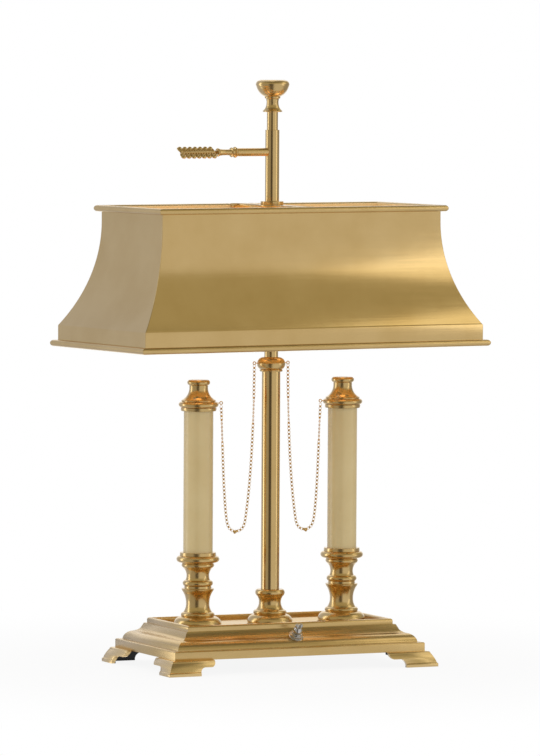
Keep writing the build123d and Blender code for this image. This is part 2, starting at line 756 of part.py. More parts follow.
def mitred(turn, reach, half_length, section, lean_out=1.0, lean_along=1.0):
    """Runs a section, drawn from the face at reach outwards, along one side and cuts both its mitres.

    Each mitre runs lean_out outwards for every lean_along of its run along the side.
    """
    plane = shade_plane(turn)
    outwards, along = plane.x_dir, plane.z_dir
    with BuildPart() as side:
        with BuildSketch(plane):
            with Locations((reach, 0)):
                add(section)
        extrude(amount=side_run, both=True)
        for end in (1, -1):
            corner = outwards * reach + along * half_length * end
            normal = along * end * lean_out - outwards * lean_along
            split(bisect_by=Plane(corner, z_dir=normal), keep=Keep.BOTTOM)
    return side.part


def panel_section(flare):
    """The sheet: an upright collar, a hollow flare and an upright band."""
    with BuildSketch() as section:
        with BuildLine():
            for inset in (0.0, sheet):
                Line((flare - inset, sheet_bottom), (flare - inset, band_joint))
                Bezier(
                    (flare - inset, band_joint),
                    (flare * 0.35 - inset, band_joint + flare_height * 0.29),
                    (-inset, flare_top - flare_height * 0.36),
                    (-inset, flare_top),
                )
                Line((-inset, flare_top), (-inset, sheet_top))
            Line((0, sheet_top), (-sheet, sheet_top))
            Line((flare, sheet_bottom), (flare - sheet, sheet_bottom))
        make_face()
    return section.sketch


def bead_section(height):
    """A round wire with a flat that is soldered to the outside of the sheet."""
    with BuildSketch() as section:
        with Locations((bead_seat, height)):
            Circle(bead_radius)
        with Locations((0, height)):
            Rectangle(
                2 * bead_radius, 2 * bead_radius + 1, align=(Align.MAX, Align.CENTER), mode=Mode.SUBTRACT
            )
    return section.sketch


for side, (turn, reach, half_length, flare, flare_beside) in shade_sides.items():
    with BuildPart() as panel:
        add(mitred(turn, reach, half_length, panel_section(flare), flare, flare_beside))
    write(panel, f"shade_{side}")

bead_places = {
    "shade_top_bead": (sheet_top - top_bead_drop, 0.0),
    "shade_bottom_bead": (sheet_bottom, 1.0),
}
for bead_name, (height, share) in bead_places.items():
    rods = [
        mitred(turn, reach + share * flare, half_length + share * flare_beside, bead_section(height))
        for turn, reach, half_length, flare, flare_beside in shade_sides.values()
    ]
    bead = Compound(label=bead_name, children=[rod.solids()[0] for rod in rods])
    export_step(bead, f"parts/{bead_name}.step")

spider_plane = Plane(origin=(0, 0, strap_bottom), x_dir=shade_plane(0).x_dir, z_dir=(0, 0, 1))
strap_reach = shade_half_width - sheet
with BuildPart() as spider:
    with BuildSketch(spider_plane):
        Rectangle(strap_width, 2 * strap_reach)
        Circle(hub_radius)
        with Locations((0, strap_reach - strap_thickness / 2), (0, strap_thickness / 2 - strap_reach)):
            Rectangle(tab_width, strap_thickness)
        Circle(sleeve_radius, mode=Mode.SUBTRACT)
    extrude(amount=strap_thickness)
    with BuildSketch(spider_plane):
        with Locations((0, strap_reach - strap_thickness / 2), (0, strap_thickness / 2 - strap_reach)):
            Rectangle(tab_width, strap_thickness)
    extrude(amount=strap_thickness - tab_drop)
write(spider, "spider")

with BuildPart() as shade_nut:
    with BuildSketch(Plane.XY.offset(nut_bottom)):
        hexagon(shade_nut_across)
        Circle(sleeve_radius, mode=Mode.SUBTRACT)
    extrude(amount=shade_nut_height)
    with BuildSketch(Plane.XY.offset(nut_bottom)):
        Circle(shade_nut_across / sqrt(3) - 0.6)
    extrude(amount=shade_nut_height, mode=Mode.INTERSECT)
write(shade_nut, "shade_nut")

# ---------------------------------------------------------------- sleeve and key
key_plane = Plane(
    origin=(0, 0, key_height),
    x_dir=shade_plane(180).z_dir,
    z_dir=shade_plane(180).z_dir.cross(shade_plane(180).x_dir),
)
key_axis = shade_plane(180).x_dir
key_section = Plane(origin=(0, 0, key_height), x_dir=(0, 0, 1), z_dir=key_axis)
sleeve_turning = [
    (sleeve_radius, strap_top - sleeve_bottom, 0.0),
    (flange_radius - 0.6, 0.0, 0.0),
    (flange_radius, 0.6, 0.0),
    (flange_radius, flange_height - 1.2, 0.0),
    (flange_radius - 0.6, 0.6, 0.0),
    (sleeve_radius, 0.0, 0.0),
    (sleeve_radius, sleeve_above_flange - 1.0, 0.0),
    (sleeve_radius - 1.0, 1.0, 0.0),
]
with BuildPart() as sleeve:
    sleeve_foot = (sleeve_radius, sleeve_bottom)
    add(turned("sleeve", column_plane, sleeve_foot, sleeve_turning, rod_radius + running_fit, False))
    with BuildSketch(key_section):
        Circle(key_shank_radius + running_fit)
    extrude(amount=2 * sleeve_radius, mode=Mode.SUBTRACT)
write(sleeve, "sleeve")

with BuildPart() as key_arm:
    with BuildSketch(key_section):
        Circle(key_arm_radius)
        Circle(key_shank_radius + running_fit, mode=Mode.SUBTRACT)
    extrude(amount=key_arm_reach)
    with BuildSketch(Plane.XY.offset(key_height - 2 * key_arm_radius)):
        Circle(sleeve_radius)
    extrude(amount=4 * key_arm_radius, mode=Mode.SUBTRACT)
write(key_arm, "key_arm")

key_turned_plane = Plane(
    origin=(0, 0, key_height), x_dir=(0, 0, 1), z_dir=Vector(0, 0, 1).cross(key_axis)
)
key_collar_foot = key_arm_reach + standoff
key_neck_top = key_collar_foot + rise_of(key_turning)
with BuildPart() as key_screw:
    with BuildSketch(key_section.offset(rod_radius + standoff)):
        Circle(key_shank_radius)
    extrude(amount=key_collar_foot - rod_radius - standoff + key_collar_length / 2)
write(key_screw, "key_screw")
with BuildPart() as key_collar:
    add(turned("key", key_turned_plane, (key_collar_edge, key_collar_foot), key_turning, 0.0, False))
    add(key_screw.part, mode=Mode.SUBTRACT)
write(key_collar, "key_collar")

# The feather is flat: a rachis down its middle and a row of rounded barbs along each edge.
across_level = key_axis.cross(Vector(0, 0, 1))
vane_across = across_level * cos(radians(vane_tilt)) + Vector(0, 0, 1) * sin(radians(vane_tilt))
vane_plane = Plane(
    origin=Vector(0, 0, key_height) + key_axis * key_neck_top,
    x_dir=key_axis,
    z_dir=key_axis.cross(vane_across),
)
first_barb = barb_radius + 2.0
barb_spots = [
    (first_barb + index * barb_pitch, edge * vane_half_width)
    for index in range(barb_count)
    for edge in (-1, 1)
]
with BuildPart() as key_feather:
    with BuildSketch(vane_plane):
        Rectangle(vane_length, 2 * vane_half_width, align=(Align.MIN, Align.CENTER))
        with Locations(*barb_spots):
            Circle(barb_radius)
        with Locations((vane_length, -tip_barb_radius), (vane_length, tip_barb_radius)):
            Circle(tip_barb_radius)
    extrude(amount=vane_thickness / 2, both=True)
    with BuildSketch(Plane(vane_plane.origin, x_dir=vane_plane.z_dir, z_dir=key_axis)):
        Circle(rachis_radius + 0.6)
    extrude(amount=vane_length * 0.9, taper=2.0)
write(key_feather, "key_feather")

# ---------------------------------------------------------------- switch
knob_plane = Plane(origin=switch_plane.origin, x_dir=(1, 0, 0), z_dir=Vector(1, 0, 0).cross(switch_axis))
shaft_bore = shaft_radius + running_fit
tube("switch_bushing", knob_plane, switch_neck_radius, shaft_bore, -switch_neck_bottom, switch_neck_top)
tube("switch_ring", knob_plane, ring_radius, switch_neck_radius, 0.0, ring_height)
turned(
    "switch_body",
    knob_plane,
    (switch_body_radius - 0.8, -switch_neck_bottom - switch_body_length),
    [(switch_body_radius, 0.8, 0.0), (switch_body_radius, switch_body_length - 0.8, 0.0)],
)
with BuildPart() as switch_nut:
    with BuildSketch(switch_plane.offset(ring_height)):
        hexagon(switch_nut_across)
        Circle(switch_neck_radius, mode=Mode.SUBTRACT)
    extrude(amount=switch_nut_height)
write(switch_nut, "switch_nut")
knob_foot = switch_neck_top + knob_gap
turned(
    "switch_knob",
    knob_plane,
    (shaft_radius, knob_foot - shaft_depth),
    [(shaft_radius, shaft_depth, 0.0), (4.2, 0.0, 0.0)] + knob_turning + [(4.2, 0.0, 0.0), (1.0, -0.9, 0.1)],
)
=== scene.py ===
"""A bouillotte lamp: brass tray base, two ivory candles with chained caps, and a flared brass shade."""

from math import acos, ceil, cos, pi, radians, sin

import bmesh
import bpy
from bpy.props import FloatProperty, FloatVectorProperty, IntProperty, PointerProperty
from bpy.types import Operator, Panel, PropertyGroup
from mathutils import Matrix, Vector


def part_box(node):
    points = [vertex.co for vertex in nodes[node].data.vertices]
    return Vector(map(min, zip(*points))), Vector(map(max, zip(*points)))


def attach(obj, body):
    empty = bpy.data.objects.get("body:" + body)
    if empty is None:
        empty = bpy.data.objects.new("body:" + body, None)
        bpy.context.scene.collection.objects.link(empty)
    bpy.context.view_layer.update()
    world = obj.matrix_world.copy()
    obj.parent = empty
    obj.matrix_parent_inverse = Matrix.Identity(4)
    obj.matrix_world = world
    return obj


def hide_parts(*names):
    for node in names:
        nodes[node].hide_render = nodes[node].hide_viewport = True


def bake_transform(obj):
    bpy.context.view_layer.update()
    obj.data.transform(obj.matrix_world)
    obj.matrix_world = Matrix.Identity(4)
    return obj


bl_info = {
    "name": "Bouillotte Lamp",
    "version": (1, 0, 0),
    "blender": (4, 5, 0),
    "location": "View3D > Sidebar > Lamp",
    "description": "Dresses a bouillotte lamp with its brass, candles, chains and feather key",
    "category": "Object",
}

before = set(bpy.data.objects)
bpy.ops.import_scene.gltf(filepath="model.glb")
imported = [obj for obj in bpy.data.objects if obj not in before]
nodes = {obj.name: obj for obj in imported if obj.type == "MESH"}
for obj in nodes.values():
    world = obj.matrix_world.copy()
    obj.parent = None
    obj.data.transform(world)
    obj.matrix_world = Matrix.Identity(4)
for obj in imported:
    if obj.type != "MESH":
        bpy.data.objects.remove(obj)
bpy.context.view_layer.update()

MM = 0.001
UP = Vector((0.0, 0.0, 1.0))
SIDES = (("left", 1), ("right", -1))
LAMP_MIDDLE = 0.33  # above the floor
SWIVEL = radians(6.5)  # that the shade stands turned from the base
SWITCH_TILT = radians(56.0)  # above level

# The left chain, from the collar's eye down and up to the cap's eye, as (X, Z) in metres.
CHAIN_ROUTE = (
    (-0.0208, 0.33875),
    (-0.0210, 0.3080),
    (-0.0222, 0.2680),
    (-0.0244, 0.2260),
    (-0.0274, 0.1920),
    (-0.0303, 0.1700),
    (-0.0321, 0.1586),
    (-0.0361, 0.1531),
    (-0.0426, 0.1510),
    (-0.0491, 0.1531),
    (-0.0531, 0.1586),
    (-0.0550, 0.1700),
    (-0.0570, 0.1920),
    (-0.0588, 0.2260),
    (-0.0601, 0.2620),
    (-0.0615, 0.29465),
)
CHAIN_BOTTOM = 0.0426  # from the column's axis
# The heights between which the rings hang turned, and the height over which the turn fades in and out.
TURNED_BY_COLLAR = (0.268, 0.306)
TURNED_BY_CAP = (0.246, 0.284)
TURN_FADE = 0.008

# The turned pieces, as the radius at the foot and then steps of (radius at the step's end, rise, bulge) in
# millimetres, where a bulge above 0 swells outwards.
TURNINGS = {
    "column_foot": (24.8, (
        (25.6, 2.6, 0.3), (17.8, 7.7, 1.9), (16.8, 4.6, 1.6), (16.0, 0.4, 0.0), (14.8, 15.6, -2.9),
        (15.0, 7.5, 1.9),
    )),
    "candle_cup": (25.8, (
        (26.8, 3.4, 0.4), (18.0, 7.2, 2.0), (17.0, 4.6, 1.5), (16.2, 0.4, 0.0), (13.2, 9.3, -0.8),
        (17.9, 15.2, -1.3), (18.4, 1.9, 0.0), (15.4, 0.5, 0.0), (15.2, 2.5, 0.0), (15.0, 6.2, 2.0),
        (13.9, 0.4, 0.0), (17.2, 14.4, -2.5), (17.4, 4.7, 1.1), (20.3, 0.9, 0.0), (20.0, 7.2, 4.1),
        (20.5, 0.4, 0.0), (20.3, 3.6, 0.0),
    )),
    "collar": (12.6, ((12.85, 2.0, 0.3), (12.2, 0.2, 0.0), (8.6, 13.9, 5.6))),
    "cap": (19.7, (
        (20.0, 3.6, 0.3), (19.2, 0.4, 0.0), (19.0, 6.2, 3.4), (18.9, 0.3, 0.0), (18.3, 2.0, 0.8),
        (10.6, 14.7, -2.4), (10.6, 1.6, 0.0), (10.8, 6.0, 2.2),
    )),
    "finial": (10.5, (
        (10.9, 1.5, 0.4), (6.9, 7.8, -1.0), (7.6, 5.7, -0.4), (8.9, 1.2, 0.4), (8.7, 1.0, 0.0),
        (18.4, 11.6, 1.7), (14.8, 6.8, 2.1), (14.2, 0.4, 0.0),
    )),
    "key_collar": (5.2, (
        (5.4, 0.5, 0.0), (5.4, 2.2, 0.8), (4.6, 0.4, 0.0), (4.3, 2.0, -0.3), (5.0, 0.3, 0.0), (4.9, 1.4, 0.5),
        (3.6, 0.5, 0.0), (3.9, 14.9, -0.5), (4.4, 0.5, 0.0), (4.2, 2.3, 0.5),
    )),
    "switch_knob": (4.2, ((4.6, 0.8, 0.0), (4.6, 4.6, 0.5), (3.5, 1.4, 0.0), (3.2, 0.8, 0.0))),
    "clasp": (0.0, ((1.55, 1.5, 0.6), (0.6, 4.8, 0.2), (0.0, 0.1, 0.0))),
}


# ---------------------------------------------------------------- settings
class StageSettings(PropertyGroup):
    angle: FloatProperty(
        name="Camera angle", description="Round the lamp, from its front towards its right",
        default=radians(-24.4), subtype="ANGLE", unit="ROTATION")
    distance: FloatProperty(
        name="Camera distance", description="From the column's axis", default=7.13, unit="LENGTH")
    height: FloatProperty(name="Camera height", description="Above the floor", default=0.735, unit="LENGTH")
    pitch: FloatProperty(
        name="Camera pitch", description="Below level", default=radians(3.3), subtype="ANGLE", unit="ROTATION")
    roll: FloatProperty(
        name="Camera roll", description="Lean of the picture", default=radians(0.3), subtype="ANGLE",
        unit="ROTATION")
    aim: FloatProperty(
        name="Camera aim", description="Left of the column's axis", default=radians(0.010), subtype="ANGLE",
        unit="ROTATION")
    lens: FloatProperty(name="Lens", description="Focal length", default=301.3, subtype="DISTANCE_CAMERA")
    floor_colour: FloatVectorProperty(
        name="Floor", description="Colour of the floor", subtype="COLOR", size=3, default=(0.66, 0.66, 0.66),
        min=0.0, max=1.0)
    boxes: FloatProperty(
        name="Soft boxes", description="Brightness of their faces, where 1 is white", default=1.6, min=0.0)
    walls: FloatProperty(
        name="Studio walls", description="Brightness of the walls, where 1 is white", default=0.63, min=0.0)
    ceiling: FloatProperty(
        name="Studio ceiling", description="Brightness of the ceiling, where 1 is white", default=0.42, min=0.0)


class BrassFinish(PropertyGroup):
    colour: FloatVectorProperty(
        name="Brass", description="Colour of the clean brass", subtype="COLOR", size=3,
        default=(0.80, 0.56, 0.235), min=0.0, max=1.0)
    deep_colour: FloatVectorProperty(
        name="Deep brass", description="Colour where the lacquer has darkened", subtype="COLOR", size=3,
        default=(0.70, 0.465, 0.165), min=0.0, max=1.0)
    roughness: FloatProperty(
        name="Roughness", description="Of the satin finish", default=0.14, min=0.0, max=1.0, subtype="FACTOR")
    grain: FloatProperty(
        name="Grain", description="Depth of the brushed lines", default=0.05, min=0.0, max=1.0,
        subtype="FACTOR")
    lacquer: FloatProperty(
        name="Lacquer", description="Weight of the clear lacquer", default=0.5, min=0.0, max=1.0,
        subtype="FACTOR")


class ChainSizes(PropertyGroup):
    ring: FloatProperty(
        name="Ring", description="Outside width of a round ring", default=3.5 * MM, unit="LENGTH")
    link: FloatProperty(
        name="Link", description="Outside length of a link between rings", default=2.5 * MM, unit="LENGTH")
    wire: FloatProperty(name="Wire", description="Thickness of the wire", default=0.42 * MM, unit="LENGTH")
    band: FloatProperty(
        name="Band", description="Breadth of a link between rings", default=2.2 * MM, unit="LENGTH")
    pitch: FloatProperty(name="Pitch", description="From ring to link", default=2.1 * MM, unit="LENGTH")
    length: FloatProperty(name="Length", description="Of each chain", default=0.3435, unit="LENGTH")
    twist: FloatProperty(
        name="Twist", description="How far the turned rings are turned", default=radians(70.0), subtype="ANGLE",
        unit="ROTATION")


class KeySizes(PropertyGroup):
    barbs: IntProperty(name="Barbs", description="Along each edge of the feather", default=7, min=2)
    pitch: FloatProperty(
        name="Barb pitch", description="From barb to barb", default=6.6 * MM, unit="LENGTH")
    reach: FloatProperty(
        name="Barb reach", description="From the rachis to a barb's end", default=9.0 * MM, unit="LENGTH")
    tilt: FloatProperty(
        name="Tilt", description="Of the feather, near edge down", default=radians(45.0), subtype="ANGLE",
        unit="ROTATION")


class LightFinish(PropertyGroup):
    ivory: FloatVectorProperty(
        name="Ivory", description="Colour of the candle tubes", subtype="COLOR", size=3,
        default=(0.65, 0.51, 0.25), min=0.0, max=1.0)
    glow: FloatVectorProperty(
        name="Glow", description="Colour of the lit bulbs", subtype="COLOR", size=3, default=(1.0, 0.52, 0.2),
        min=0.0, max=1.0)
    strength: FloatProperty(name="Glow strength", description="Of the lit bulbs", default=2.6, min=0.0)


# ---------------------------------------------------------------- meshes
def piece_from(name, mesh, body, material, slot, *replaced, bevel=0.0, angle=35.0):
    """Links a mesh as a smooth piece with its finish, its softened edges and the body that carries it."""
    piece = bpy.data.objects.new(name, mesh)
    bpy.context.scene.collection.objects.link(piece)
    mesh.materials.append(material)
    for face in mesh.polygons:
        face.use_smooth = True
    if bevel:
        soften(piece, bevel, angle, False)
    else:
        mesh.set_sharp_from_angle(angle=radians(angle))
    if body:
        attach(piece, body)
    if replaced:
        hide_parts(*replaced)
    return piece


def soften(piece, width, angle=35.0, weld=True):
    """Rounds the edges of a piece as a polished edge is rounded."""
    if weld:
        join = piece.modifiers.new("joined faces", "WELD")
        join.merge_threshold = 0.01 * MM
    edge = piece.modifiers.new("polished edges", "BEVEL")
    edge.width = width
    edge.segments = 2
    edge.limit_method = "ANGLE"
    edge.angle_limit = radians(angle)
    edge.harden_normals = True
    edge.use_clamp_overlap = True


def finish_node(name, material, bevel=0.0, angle=35.0):
    """Gives a node of the frame its finish and softened edges."""
    piece = nodes[name]
    piece.data.materials.clear()
    piece.data.materials.append(material)
    for face in piece.data.polygons:
        face.use_smooth = True
    if bevel:
        soften(piece, bevel, angle)


def arc(start, end, sagitta):
    """Points of an arc between two points, its end included, bowed to the left of the way by the sagitta."""
    start, end = Vector(start), Vector(end)
    chord = end - start
    half = chord.length / 2
    radius = (half * half + sagitta * sagitta) / (2 * sagitta)
    left = Vector((-chord.y, chord.x)).normalized()
    centre = (start + end) / 2 + left * (sagitta - radius)
    spoke = start - centre
    swing = 2 * acos((abs(radius) - abs(sagitta)) / abs(radius)) * (-1 if sagitta > 0 else 1)
    steps = max(3, ceil(abs(swing) / radians(7.0)))
    points = []
    for index in range(1, steps + 1):
        turn = swing * index / steps
        points.append((
            centre.x + spoke.x * cos(turn) - spoke.y * sin(turn),
            centre.y + spoke.x * sin(turn) + spoke.y * cos(turn),
        ))
    return points


def turned_outline(kind):
    """Points of a turned outline as (radius, height) in metres, from its foot."""
    edge, steps = TURNINGS[kind]
    points = [(edge, 0.0)]
    for radius, rise, bulge in steps:
        here = points[-1]
        there = (radius, here[1] + rise)
        points += arc(here, there, -bulge) if bulge else [there]
    return [(radius * MM, height * MM) for radius, height in points]


def lathe(name, outline, foot=(0.0, 0.0, 0.0), way=(0.0, 0.0, 1.0), segments=64):
    """A closed turned mesh, from (radius, height) points along a way from its foot."""
    way = Vector(way).normalized()
    aside = way.orthogonal().normalized()
    beside = way.cross(aside)
    foot = Vector(foot)
    if outline[0][0] > 0:
        outline = [(0.0, outline[0][1]), *outline]
    if outline[-1][0] > 0:
        outline = [*outline, (0.0, outline[-1][1])]
    work = bmesh.new()
    rings = []
    for radius, height in outline:
        middle = foot + way * height
        if radius < 1e-7:
            rings.append([work.verts.new(middle)])
            continue
        rings.append([
            work.verts.new(middle + (aside * cos(a) + beside * sin(a)) * radius)
            for a in (2 * pi * step / segments for step in range(segments))
        ])
    for lower, upper in zip(rings, rings[1:]):
        for index in range(segments):
            onward = (index + 1) % segments
            corners = [lower[index % len(lower)], lower[onward % len(lower)],
                       upper[onward % len(upper)], upper[index % len(upper)]]
            distinct = list(dict.fromkeys(corners))
            if len(distinct) > 2:
                work.faces.new(distinct)
    bmesh.ops.remove_doubles(work, verts=work.verts, dist=1e-7)
    bmesh.ops.recalc_face_normals(work, faces=work.faces)
    mesh = bpy.data.meshes.new(name)
    work.to_mesh(mesh)
    work.free()
    return mesh


def turned_piece(node, kind, body, material, slot="satin_brass"):
    """Makes a turned piece of the lamp anew, as smooth as it is turned."""
    low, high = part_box(node)
    middle = ((low.x + high.x) / 2, (low.y + high.y) / 2, low.z)
    mesh = lathe(f"{node}_turned", turned_outline(kind), middle)
    return piece_from(f"{node}_turned", mesh, body, material, slot, node, bevel=0.25 * MM, angle=24)


def plain_rod(node, body, material, slot="satin_brass", bevel=0.3 * MM):
    """Makes an upright round rod or tube of the lamp anew, as smooth as it is drawn."""
    low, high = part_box(node)
    radius = (high.x - low.x) / 2
    middle = ((low.x + high.x) / 2, (low.y + high.y) / 2, low.z)
    mesh = lathe(f"{node}_drawn", [(radius, 0.0), (radius, high.z - low.z)], middle)
    return piece_from(f"{node}_drawn", mesh, body, material, slot, node, bevel=bevel)


def mitred_ring(name, section, half_length, half_width, turn):
    """A closed section carried round a rectangle with a mitre at each corner.

    The section's points are (outwards at the short ends, outwards at the long sides, height).
    """
    mesh = bpy.data.meshes.new(name)
    points, faces = [], []
    spin = Matrix.Rotation(turn, 3, "Z")
    for out_x, out_y, height in section:
        for side_x, side_y in ((1, -1), (1, 1), (-1, 1), (-1, -1)):
            corner = Vector((side_x * (half_length + out_x), side_y * (half_width + out_y), height))
            points.append(spin @ corner)
    count = len(section)
    for ring in range(count):
        for side in range(4):
            here, there = ring * 4, (ring + 1) % count * 4
            faces.append((here + side, here + (side + 1) % 4, there + (side + 1) % 4, there + side))
    mesh.from_pydata(points, [], faces)
    work = bmesh.new()
    work.from_mesh(mesh)
    bmesh.ops.recalc_face_normals(work, faces=work.faces)
    work.to_mesh(mesh)
    work.free()
    return mesh


# ---------------------------------------------------------------- shader groups
def maths(tree, kind, operation, *sources):
    """The result of a maths node, with each input linked from a socket or set to a value."""
    node = tree.nodes.new(f"ShaderNode{kind}")
    node.operation = operation
    for index, source in enumerate(sources):
        if isinstance(source, bpy.types.NodeSocket):
            tree.links.new(source, node.inputs[index])
        else:
            node.inputs[index].default_value = source
    one_number = kind == "Math" or operation in ("DOT_PRODUCT", "LENGTH")
    return node.outputs["Value" if one_number else "Vector"]


def smooth_step(tree, value, low, high, bottom=0.0, top=1.0):
    """The bottom where a value is below the low mark, the top above the high one, and a soft change between."""
    ramp = tree.nodes.new("ShaderNodeMapRange")
    ramp.interpolation_type = "SMOOTHSTEP"
    for title, number in (("From Min", low), ("From Max", high), ("To Min", bottom), ("To Max", top)):
        ramp.inputs[title].default_value = number
    tree.links.new(value, ramp.inputs["Value"])
    return ramp.outputs["Result"]


def node_group(name, inputs, output):
    """An empty shader group with inputs, given as (name, socket type, default), that puts out one value."""
    group = bpy.data.node_groups.new(name, "ShaderNodeTree")
    for title, kind, default in inputs:
        socket = group.interface.new_socket(name=title, in_out="INPUT", socket_type=kind)
        socket.default_value = default
    group.interface.new_socket(name=output, in_out="OUTPUT", socket_type="NodeSocketFloat")
    return group, group.nodes.new("NodeGroupInput").outputs, group.nodes.new("NodeGroupOutput").inputs[output]


def brushed_lines_group():
    """Fine parallel lines, from 0 to 1, with their frequency per metre along each axis."""
    group, source, result = node_group(
        "Brushed Lines",
        (("Lines per Metre", "NodeSocketVector", (12.0, 12.0, 700.0)), ("Contrast", "NodeSocketFloat", 1.0)),
        "Lines",
    )
    place = group.nodes.new("ShaderNodeTexCoord").outputs["Object"]
    noise = group.nodes.new("ShaderNodeTexNoise")
    noise.inputs["Scale"].default_value = 1.0
    noise.inputs["Detail"].default_value = 3.0
    noise.inputs["Roughness"].default_value = 0.62
    scaled = maths(group, "VectorMath", "MULTIPLY", place, source["Lines per Metre"])
    group.links.new(scaled, noise.inputs["Vector"])
    middle = 0.5
    centred = maths(group, "Math", "SUBTRACT", noise.outputs["Fac"], middle)
    widened = maths(group, "Math", "MULTIPLY", centred, source["Contrast"])
    lines = maths(group, "Math", "ADD", widened, middle)
    lines.node.use_clamp = True
    group.links.new(lines, result)


def haze_group():
    """Soft uneven patches of darker lacquer, from 0 to 1."""
    group, source, result = node_group(
        "Lacquer Haze",
        (("Patches per Metre", "NodeSocketFloat", 18.0), ("Amount", "NodeSocketFloat", 0.5)),
        "Haze",
    )
    link = group.links.new
    noise = group.nodes.new("ShaderNodeTexNoise")
    noise.inputs["Detail"].default_value = 4.0
    noise.inputs["Roughness"].default_value = 0.55
    ramp = group.nodes.new("ShaderNodeMapRange")
    ramp.inputs["From Min"].default_value = 0.38
    ramp.inputs["From Max"].default_value = 0.68
    link(group.nodes.new("ShaderNodeTexCoord").outputs["Object"], noise.inputs["Vector"])
    link(source["Patches per Metre"], noise.inputs["Scale"])
    link(noise.outputs["Fac"], ramp.inputs["Value"])
    link(source["Amount"], ramp.inputs["To Max"])
    link(ramp.outputs["Result"], result)


def foot_inner_black_group():
    """1 on the inner faces of the bracket feet, which are made black, and 0 outside them."""
    group, source, result = node_group(
        "Foot Lining",
        (("Inner Corner", "NodeSocketVector", (0.1238, 0.0552, 0.0)),
         ("Reach at Floor", "NodeSocketFloat", 0.0383), ("Splay", "NodeSocketFloat", 0.58)),
        "Lining",
    )
    place = group.nodes.new("ShaderNodeNewGeometry").outputs["Position"]
    folded = maths(group, "VectorMath", "ABSOLUTE", place)
    past = maths(group, "VectorMath", "SUBTRACT", folded, source["Inner Corner"])
    split = group.nodes.new("ShaderNodeSeparateXYZ")
    group.links.new(past, split.inputs[0])
    most = maths(group, "Math", "MAXIMUM", split.outputs["X"], split.outputs["Y"])
    lean = maths(group, "Math", "MULTIPLY", split.outputs["Z"], source["Splay"])
    level = maths(group, "Math", "ADD", most, lean)
    group.links.new(maths(group, "Math", "LESS_THAN", level, source["Reach at Floor"]), result)


def inner_faces_group():
    """1 on the faces that look towards the lamp's axis, and 0 on those that look away from it."""
    group, source, result = node_group(
        "Inner Faces", (("Level", "NodeSocketVector", (1.0, 1.0, 0.0)),), "Lining"
    )
    geometry = group.nodes.new("ShaderNodeNewGeometry").outputs
    flat = maths(group, "VectorMath", "MULTIPLY", geometry["Position"], source["Level"])
    outwards = maths(group, "VectorMath", "DOT_PRODUCT", flat, geometry["Normal"])
    group.links.new(maths(group, "Math", "LESS_THAN", outwards, 0.0), result)


# ---------------------------------------------------------------- materials
def colour_mix(tree, mask, first, second):
    """A colour that a mask blends from the first to the second, each linked from a socket or set to a value."""
    mix = tree.nodes.new("ShaderNodeMix")
    mix.data_type = "RGBA"
    for title, colour in (("A", first), ("B", second)):
        if isinstance(colour, bpy.types.NodeSocket):
            tree.links.new(colour, mix.inputs[title])
        else:
            mix.inputs[title].default_value = (*colour, 1.0)
    tree.links.new(mask, mix.inputs["Factor"])
    return mix.outputs["Result"]


def shader_mix(tree, mask, first, second):
    """A shader that a mask blends from the first to the second."""
    mix = tree.nodes.new("ShaderNodeMixShader")
    for source, target in zip((mask, first, second), mix.inputs):
        tree.links.new(source, target)
    return mix.outputs[0]


def new_material(name, **sockets):
    """A material whose plain values are set on its own shader."""
    material = bpy.data.materials.new(name)
    material.use_nodes = True
    shader = material.node_tree.nodes["Principled BSDF"]
    for title, value in sockets.items():
        shader.inputs[title.replace("_", " ")].default_value = value
    return material


def grouped(material, name, **values):
    """The value that a shader group puts out, placed in a material with its own inputs."""
    node = material.node_tree.nodes.new("ShaderNodeGroup")
    node.node_tree = bpy.data.node_groups[name]
    for title, value in values.items():
        node.inputs[title.replace("_", " ")].default_value = value
    return node.outputs[0]


def tint(material, mask, first, second, title="Base Color"):
    """Lets a mask blend a colour of a material's shader from the first to the second."""
    tree = material.node_tree
    colour = colour_mix(tree, mask, first, second)
    tree.links.new(colour, tree.nodes["Principled BSDF"].inputs[title])


def gloss_and_grain(material, lines, smooth, dull, grain, depth):
    """Lets lines change the roughness of a material's shader and stand out of its surface."""
    tree = material.node_tree
    shader = tree.nodes["Principled BSDF"]
    gloss = tree.nodes.new("ShaderNodeMapRange")
    gloss.inputs["To Min"].default_value = smooth
    gloss.inputs["To Max"].default_value = dull
    bump = tree.nodes.new("ShaderNodeBump")
    bump.inputs["Strength"].default_value = grain
    bump.inputs["Distance"].default_value = depth
    tree.links.new(lines, gloss.inputs["Value"])
    tree.links.new(gloss.outputs["Result"], shader.inputs["Roughness"])
    tree.links.new(lines, bump.inputs["Height"])
    tree.links.new(bump.outputs["Normal"], shader.inputs["Normal"])


def metal(name, colour, deep, roughness, spread, grain, lines, lacquer=0.0, haze=0.6, patches=16.0):
    """A brushed metal: the lines change its gloss and relief, and the haze its colour."""
    material = new_material(name, Metallic=1.0, Coat_Weight=lacquer, Coat_Roughness=0.22, Coat_IOR=1.45)
    brushed = grouped(material, "Brushed Lines", Lines_per_Metre=lines, Contrast=1.6)
    cloudy = grouped(material, "Lacquer Haze", Patches_per_Metre=patches, Amount=haze)
    tint(material, cloudy, colour, deep)
    gloss_and_grain(material, brushed, roughness - spread, roughness + spread, grain, 0.2 * MM)
    return material


def lined_brass(name, where, paint_colour, *values, **more):
    """Brass that turns to a plain non-metallic colour where a shader group says so: the painted lining inside
    the shade, and the black inner faces of the feet.
    """
    material = metal(name, *values, **more)
    tree = material.node_tree
    paint = tree.nodes.new("ShaderNodeBsdfPrincipled")
    paint.inputs["Base Color"].default_value = (*paint_colour, 1.0)
    paint.inputs["Roughness"].default_value = 0.55
    brass = tree.nodes["Principled BSDF"].outputs[0]
    lined = shader_mix(tree, grouped(material, where), brass, paint.outputs[0])
    tree.links.new(lined, tree.nodes["Material Output"].inputs["Surface"])
    return material


